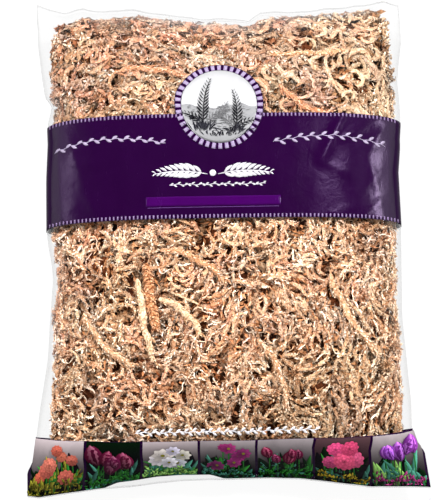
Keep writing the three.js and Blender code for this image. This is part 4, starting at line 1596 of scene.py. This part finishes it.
def curlArcs(length, turn, sCurve, tilt, arch, heading, rings):
    # arcs in the plane that touches the moss: the direction turns along them, and they tilt and arch out
    t = np.linspace(-0.5, 0.5, rings)
    direction = heading[:, None] + turn[:, None] * t + sCurve[:, None] * (t**2 - 0.08) * 4
    stride = (length / (rings - 1))[:, None]
    a = np.cumsum(np.cos(direction) * stride, axis=1)
    b = np.cumsum(np.sin(direction) * stride, axis=1)
    a -= a.mean(axis=1, keepdims=True)
    b -= b.mean(axis=1, keepdims=True)
    return a, b, tilt[:, None] * t * length[:, None] + arch[:, None] * (0.25 - t**2) * 4


def addCurls(name, setting):
    # strands along arcs at their depth under the film, tapered at both ends
    random = np.random.default_rng(setting["seed"])
    angle, y = scatter(setting["count"], random)
    places = mossPoint(angle, y, moss["lay"])
    kept = grown(setting, places, y, random)
    angle, y, places, count = angle[kept], y[kept], places[kept], kept.sum()
    flat = setting.get("flat", 0.8)
    length = random.uniform(*setting["length"], count)
    radius = random.uniform(*setting["radius"], count)
    thick = 1.25 * radius * min(1, flat / 0.8)
    depth = moss["skin"] + thick + random.uniform(*setting["depth"], count)
    depth = depth + tangle["hollows"] * np.clip(waveNoise(places, *patches["depth"]), 0, 1.5)
    depth = depth + troughDepth(places)
    heading, turn = curlHeadings(setting, places, y, random)
    sCurve = random.normal(0, tangle["sCurve"], count)
    tilt = random.normal(0, tangle["tilt"], count)
    arch = random.uniform(*tangle["arch"], count)
    rings = setting["rings"]
    centre, across, along, out = mossFrame(angle, y, depth)
    a, b, rise = curlArcs(length, turn, sCurve, tilt, arch, heading, rings)
    rise = rise + random.normal(0, tangle["wiggle"], (count, rings))
    rise = np.minimum(rise, (depth - moss["skin"] - thick)[:, None])
    paths = centre[:, None] + a[..., None] * across[:, None] + b[..., None] * along[:, None]
    paths = paths + rise[..., None] * out[:, None]
    t = np.linspace(0, 1, rings)
    taper = np.sin(np.pi * np.clip(t * 0.92 + 0.04, 0, 1)) ** 0.45
    radii = radius[:, None] * taper * random.uniform(*tangle["lumps"], (count, rings))
    rolled = setting.get("roll", 0.0) * random.normal(size=(2, count))[..., None]
    ups = np.broadcast_to(unit(out + across * rolled[0] + along * rolled[1])[:, None], paths.shape)
    # painted shade: strands further under the film are painted darker
    tone, lost = tangle["paintedDepthShade"]
    tints = strandTints(places, random, setting["tone"])
    tints = tints * np.clip(tone - lost * depth, *tangle["toneRange"])[:, None]
    # leaves are broad towards the top and slender below
    broad = topShare(y)[:, None]
    leafCount, leafLength, leafWidth = setting["leaves"]
    leafSizes = (leafCount, leafLength * (0.72 + 0.28 * broad), leafWidth * (1.1 + 0.8 * broad))
    parts = leafyStrands(paths, radii, ups, setting["sides"], leafSizes, tints, random, flat=flat,
                         lean=setting["lean"], darkest=setting.get("darkest"))
    addPiece(name, parts, mossMaterials[setting.get("finish", "curl")], smooth=False)


# shrunken shoot tips, loose crumbs of leaf, long leafy strands and bare fibres

head = {
    "seed": 61,
    "count": 150,
    "tone": 0.66,
    "spread": 0.15,
    "depth": (3.2, 6.2),
    "sink": 2,  # how much deeper they lie in the top right corner
    "branches": 12,
    "length": (3.5, 8.0),
    "radius": (0.7, 1.25),
    "curl": (0.5, 2.0),
    "rings": 5,
    "leaves": (7, 2.4, 1.5),
    "lean": 0.6,
    "rootShade": 0.5,
}


def addHeads():
    # branches leave one root as the seeds of a sunflower do, each an arc
    # root + length / curl x (ahead x sin(curl t) + aside x (1 - cos(curl t)))
    random = np.random.default_rng(head["seed"])
    count, m = head["count"], head["branches"]
    angle, y = scatter(count, random)
    places = mossPoint(angle, y, moss["lay"])
    depth = random.uniform(*head["depth"], count) + troughDepth(places)
    depth = depth + head["sink"] * cornerShare(places[:, 0], y, 1)
    centre, across, along, out = mossFrame(angle, y, depth)
    lean = np.abs(random.normal(0, 0.75, count))[:, None]
    spin = random.uniform(0, 2 * np.pi, count)[:, None]
    axis = unit(out * np.cos(lean) + (across * np.cos(spin) + along * np.sin(spin)) * np.sin(lean))
    first = unit(np.cross(axis, along + 0.3 * across))
    second = np.cross(axis, first)
    turn = (np.arange(m) * spiral + random.uniform(0, 2 * np.pi, (count, 1)))[..., None]
    opening = np.arccos(1 - 1.2 * (np.arange(m) + 0.5) / m) + random.normal(0, 0.15, (count, m))
    opening = opening[..., None]
    around = first[:, None] * np.cos(turn) + second[:, None] * np.sin(turn)
    ahead = unit(axis[:, None] * np.cos(opening) + around * np.sin(opening)).reshape(-1, 3)
    binormal = unit(np.cross(ahead, random.normal(size=ahead.shape)))
    aside = np.cross(binormal, ahead)
    curl = random.uniform(*head["curl"], count * m)[:, None, None]
    length = random.uniform(*head["length"], (count, 1)) * random.uniform(0.7, 1.2, (count, m))
    length = length.reshape(-1, 1, 1)
    t = np.linspace(0, 1, head["rings"])
    swing = curl * t[None, :, None]
    arc = ahead[:, None] * np.sin(swing) + aside[:, None] * (1 - np.cos(swing))
    paths = np.repeat(centre, m, axis=0)[:, None] + length / curl * arc
    radius = random.uniform(*head["radius"], (count * m, 1))
    radii = radius * (1 - 0.55 * t**2) * random.uniform(0.8, 1.2, paths.shape[:2])
    ups = np.broadcast_to(binormal[:, None], paths.shape)
    tints = strandTints(places, random, head["tone"], head["spread"])
    tints = np.repeat(tints, m, axis=0) * random.uniform(0.75, 1.2, (count * m, 1))
    parts = leafyStrands(paths, radii, ups, 3, head["leaves"], tints, random, lean=head["lean"],
                         rootShade=head["rootShade"])
    addPiece("mossHeads", parts, mossMaterials["curl"], smooth=False)


litter = {  # crumbs of leaf that fill the gaps between the strands
    "seed": 71,
    "count": 13000,
    "depth": (3.6, 7.4),
    "besideStems": 0.6,  # of the trough's depth
    "sink": 1.4,  # how much deeper they lie towards the top, where dark cracks show between the leaves
    "stray": 1.0,
    "tilt": 0.4,
    "length": (3.0, 6.0),
    "width": (1.1, 2.1),
    "tone": 0.5,
    # the redder cast of the painted shade deep in the gaps
    "warmth": (1.2, 0.86, 0.62),
    # painted shade by depth, as for the curled strands
    "paintedDepthShade": (1.1, 0.105),
    "toneRange": (0.3, 1.1),
}


def addLitter():
    # loose leaves that lie about along the tangle, tilted by up to half a radian or so, painted darker
    # further in as shade
    random = np.random.default_rng(litter["seed"])
    count = litter["count"]
    angle, y = scatter(count, random)
    places = mossPoint(angle, y, moss["lay"])
    broad = topShare(y)
    depth = random.uniform(*litter["depth"], count) + litter["besideStems"] * troughDepth(places)
    depth = depth + litter["sink"] * broad
    centre, across, along, out = mossFrame(angle, y, depth)
    drift = tangle["drift"] * waveNoise(places, *patches["heading"])
    heading = drift + random.normal(0, litter["stray"], count)
    heading = heading[:, None]
    tilt = random.normal(0, litter["tilt"], (2, count))[..., None]
    ahead = unit(across * np.cos(heading) + along * np.sin(heading) + out * tilt[0])
    normal = unit(out - ahead * (out * ahead).sum(-1, keepdims=True))
    normal = unit(normal + np.cross(ahead, normal) * tilt[1] * 1.5)
    length = random.uniform(*litter["length"], count) * (1 + 0.3 * broad)
    width = random.uniform(*litter["width"], count) * (1 + 0.9 * broad)
    points, faces = pointedLeaves(centre, ahead, normal, length, width)
    points = pressedIn(points.reshape(-1, 3), moss["leafGap"])
    # painted shade: darker further in
    shade, lost = litter["paintedDepthShade"]
    tints = strandTints(places, random, litter["tone"])
    tints = tints * np.clip(shade - lost * depth, *litter["toneRange"])[:, None]
    # each leaf painted darker at its root and along one edge as shade, slightly paler at its tip
    tone = np.array([0.6, 1, 0.8, 1.1])[:, None] * random.uniform(0.7, 1.15, (count, 1, 1))
    tint = tints[:, None] * litter["warmth"] * tone ** palette["deepen"]
    addPiece("mossLitter", [(points, tiled(faces, count, 4), tint.reshape(-1, 3))], mossMaterials["curl"],
             smooth=False)


sprig = {
    "seed": 17,
    "count": 110,
    "backShare": 0.35,
    "tone": 0.66,
    "spread": 0.14,
    "under": 1.2,
    "depth": (0, 1.6),
    "sway": 0.9,
    "drift": 2.4,
    "stray": 35,  # degrees
    "steps": 8,
    "length": (16, 36),
    "radius": (1.0, 1.7),
    "bend": (-150, 150),
    "wobble": 24,
    "points": 20,
    "leaves": (60, 2.2, 1.1),
    "flat": 0.75,
    "lean": 0.6,
}
fibre = {
    "seed": 23,
    "count": 130,
    "backShare": 0.4,
    "tone": 0.7,
    "spread": 0.12,
    "under": 1.0,
    "depth": (0, 2.4),
    "sway": 0.7,
    "steps": 6,
    "length": (9, 24),
    "radius": (0.22, 0.4),
    "bend": (-220, 220),
    "wobble": 30,
    "points": 12,
    "leaves": (0, 0, 0),
}


def surfacePaths(setting, angle, y, heading, length, depth, random):
    # walks over the moss, smoothed, at a depth that sways along each; returned with their outward ways
    n, points = len(angle), setting["points"]
    bend = random.uniform(*setting["bend"], n)
    path = walk(angle, y, heading, length, setting["steps"], bend, setting["wobble"])
    pathAngle, pathY = (smoothed(values, points) for values in path)
    t = np.linspace(0, 1, points)
    swing = t * random.uniform(4, 11, (n, 1)) + random.uniform(*anyPhase, (n, 1))
    swayed = depth[:, None] + setting["sway"] * np.sin(swing)
    ends = 2.2 * np.abs(2 * t - 1) ** 6
    centre, _, _, out = mossFrame(pathAngle, pathY, swayed + ends)
    return centre, out


def addSprigs():
    # longer strands with close scale leaves, that stand out of the tangle
    random = np.random.default_rng(sprig["seed"])
    n = sprig["count"]
    angle, y = scatter(n, random, sprig["backShare"])
    length = random.uniform(*sprig["length"], n)
    radius = random.uniform(*sprig["radius"], n)
    depth = moss["skin"] + radius * 1.3 + sprig["under"] + random.uniform(*sprig["depth"], n)
    drift = waveNoise(mossPoint(angle, y, moss["lay"]), *patches["sprigHeading"])
    heading = np.degrees(sprig["drift"] * drift) + random.normal(0, sprig["stray"], n)
    paths, out = surfacePaths(sprig, angle, y, heading, length, depth, random)
    t = np.linspace(0, 1, sprig["points"])
    taper = np.clip(np.sin(np.pi * np.clip(t * 0.94 + 0.03, 0, 1)), 0, 1) ** 0.35
    radii = radius[:, None] * taper * random.uniform(0.8, 1.2, (n, len(t)))
    tints = strandTints(paths[:, 10], random, sprig["tone"], sprig["spread"])
    parts = leafyStrands(paths, radii, out, 5, sprig["leaves"], tints, random, flat=sprig["flat"],
                         lean=sprig["lean"])
    addPiece("mossSprigs", parts, mossMaterials["sprig"], smooth=False)


def addFibres():
    # bare pale stems, thin and curly
    random = np.random.default_rng(fibre["seed"])
    n = fibre["count"]
    angle, y = scatter(n, random, fibre["backShare"])
    length = random.uniform(*fibre["length"], n)
    radius = random.uniform(*fibre["radius"], n)
    depth = moss["skin"] + fibre["under"] + random.uniform(*fibre["depth"], n)
    heading = random.uniform(0, 360, n)
    paths, out = surfacePaths(fibre, angle, y, heading, length, depth, random)
    radii = radius[:, None] * random.uniform(0.8, 1.2, (n, fibre["points"]))
    tints = strandTints(paths[:, 7], random, fibre["tone"], fibre["spread"])
    parts = leafyStrands(paths, radii, out, 3, fibre["leaves"], tints, random)
    addPiece("mossFibres", parts, mossMaterials["sprig"], smooth=False)


# the long stems, each in place of its own solid, and two strands beside them

stems = {
    "places": [  # x, y, heading, length, bend: as in the solid moss
        (-50.5, -26, -84, 50, 12),
        (-39, -38, -20, 34, -52),
        (-38, -10, -8, 44, -46),
        (-84, -44, -62, 48, 40),
        (34, 88, -52, 42, 50),
        (76, 112, 188, 46, -14),
        (62, -24, -72, 58, 34),
        (18, -62, -50, 46, -44),
        (-66, 98, 12, 44, -40),
    ],
    "tints": [(0.7, 0.53, 0.38), (0.68, 0.5, 0.35), (0.74, 0.52, 0.37), (0.76, 0.58, 0.44), (0.7, 0.44, 0.32),
              (0.76, 0.57, 0.42), (0.78, 0.61, 0.46), (0.74, 0.56, 0.42), (0.7, 0.46, 0.34)],
    "steps": 7,
    "wobble": 8,
    "radius": 1.6,
    "points": 40,
    "leaves": (150, 2.2, 1.1),
    "bare": 2,  # the first ones stand out most: they are thick, with few leaves
    "bareExtra": 0.35,
    "bareLeaves": (90, 2.2, 1.1),
    "tufts": 16,
    "tuftLength": (3.5, 7.0),
    "tuftLean": (0.5, 0.95),
    "tuftRadius": 0.8,
    "tuftLeaves": (9, 1.8, 0.8),
    "seed": 41,
    "others": [  # x, y, heading, length, bend, radius, leaves, tint: strands that the solid moss leaves out
        (-46, -17, -88, 40, 14, 3.1, 260, (0.7, 0.42, 0.26)),
        (-31, -34.5, -27, 17, 4, 0.8, 0, (0.6, 0.44, 0.3)),
    ],
}


def stemPath(x, y, heading, length, bend):
    # angles and heights of a walk that starts at x, y, smoothed
    start = np.array([math.asin(x / mossWidthAt(y, np.sign(x)))]), np.array([float(y)])
    path = walk(*start, np.array([heading]), np.array([length]), stems["steps"], np.array([bend]),
                stems["wobble"])
    return [smoothed(values, stems["points"]) for values in path]


def stemTufts(path, out, tint, random):
    # short leafy branches that leave a stem to both sides
    count = stems["tufts"]
    at = np.linspace(2, len(path) - 4, count).astype(int)
    along = unit(np.gradient(path, axis=0))[at]
    hand = np.where(np.arange(count) % 2 == 0, 1.0, -1.0)
    across = unit(np.cross(along, out[at])) * hand[:, None]
    length = random.uniform(*stems["tuftLength"], count)
    lean = random.uniform(*stems["tuftLean"], count)
    t = np.linspace(0, 1, 7)
    forward = along[:, None] * (np.cos(lean)[:, None] * t + 0.25 * t**2)[..., None]
    sideways = across[:, None] * (np.sin(lean)[:, None] * (t - 0.35 * t**2))[..., None]
    paths = path[at][:, None] + (forward + sideways) * length[:, None, None]
    paths -= out[at][:, None] * (0.5 * t**2)[None, :, None]
    taper = np.sin(np.pi * np.clip(0.15 + 0.8 * t, 0, 1))[None] ** 0.5
    radii = stems["tuftRadius"] * taper * random.uniform(0.7, 1.1, (count, 7))
    ups = np.broadcast_to(out[at][:, None], paths.shape)
    tints = np.broadcast_to(tint, (count, 3)) * random.uniform(0.8, 1.0, (count, 1))
    return leafyStrands(paths, radii, ups, 4, stems["tuftLeaves"], tints, random, lean=0.5)


def addStems():
    # a twisted stem with scale leaves, and tufts to both sides
    random = np.random.default_rng(stems["seed"])
    t = np.linspace(0, 1, stems["points"])
    taper = np.sin(np.pi * np.clip(t * 0.95 + 0.025, 0, 1)) ** 0.3
    for index, place in enumerate(stems["places"]):
        pathAngle, pathY = stemPath(*place)
        depth = moss["skin"] + stems["radius"] + 0.25 + 0.3 * np.sin(9 * t + index)[None]
        centre, _, _, out = mossFrame(pathAngle, pathY, depth)
        bare = index < stems["bare"]
        radius = stems["radius"] + stems["bareExtra"] * bare
        radii = radius * taper * (1 + 0.13 * np.sin(31 * t + index))
        tint = np.array([stems["tints"][index]])
        leafSizes = stems["bareLeaves"] if bare else stems["leaves"]
        parts = leafyStrands(centre, radii[None], out, 8, leafSizes, tint, random, flat=0.85, lean=0.32,
                             darkest=0.8 if bare else None)
        parts += stemTufts(centre[0], out[0], tint, random)
        addPiece(f"mossStem{index + 1}", parts, mossMaterials["stem"],
                 [f"moss_stem_{index + 1}"], smooth=False)
    for index, (*place, radius, leafCount, colour) in enumerate(stems["others"]):
        centre, _, _, out = mossFrame(*stemPath(*place), moss["skin"] + radius + 0.7)
        parts = leafyStrands(centre, (radius * taper)[None], out, 8, (leafCount, 2.4, 1.6),
                             np.array([colour]), random, flat=0.85, lean=0.7)
        addPiece(f"mossStrand{index + 1}", parts, mossMaterials["curl"], smooth=False)


def addFloor():
    # the table: one wide square under the bag
    reach, drop = studio["floorReach"] * mm, studio["floorDrop"] * mm
    mesh = bpy.data.meshes.new("floor")
    corners = [(-reach, -reach, -drop), (reach, -reach, -drop), (reach, reach, -drop), (-reach, reach, -drop)]
    mesh.from_pydata(corners, [], [(0, 1, 2, 3)])
    mesh.materials.append(floorFinish())
    floor = newObject("floor", mesh)


# making it all

addCamera()
addLights()
mossMaterials = {
    "curl": mossFinish("mossCurl", 0.6),
    "flake": mossFinish("mossFlake", 0.3),
    "sprig": mossFinish("mossSprig", 0.5),
    "stem": mossFinish("mossStem", 0.3, 0.8),
}
stemPoints = np.concatenate([mossPoint(*stemPath(*place[:5]), moss["lay"])[0]
                             for place in stems["places"] + stems["others"][:1]])
addShadeBed()
addCurls("mossDeep", shoot)
addHeads()
addLitter()
addCurls("mossRopesA", middle)
addCurls("mossRopesB", rope)
addCurls("mossWisps", wisp)
addCurls("mossFlakes", flake)
addCurls("mossRibbons", ribbon)
addSprigs()
addFibres()
addStems()
print("moss done")
addFilm()
addBand()
addTicks()
addBadge()
addTitle()
addStrip()
print("film and print done")
addFloor()
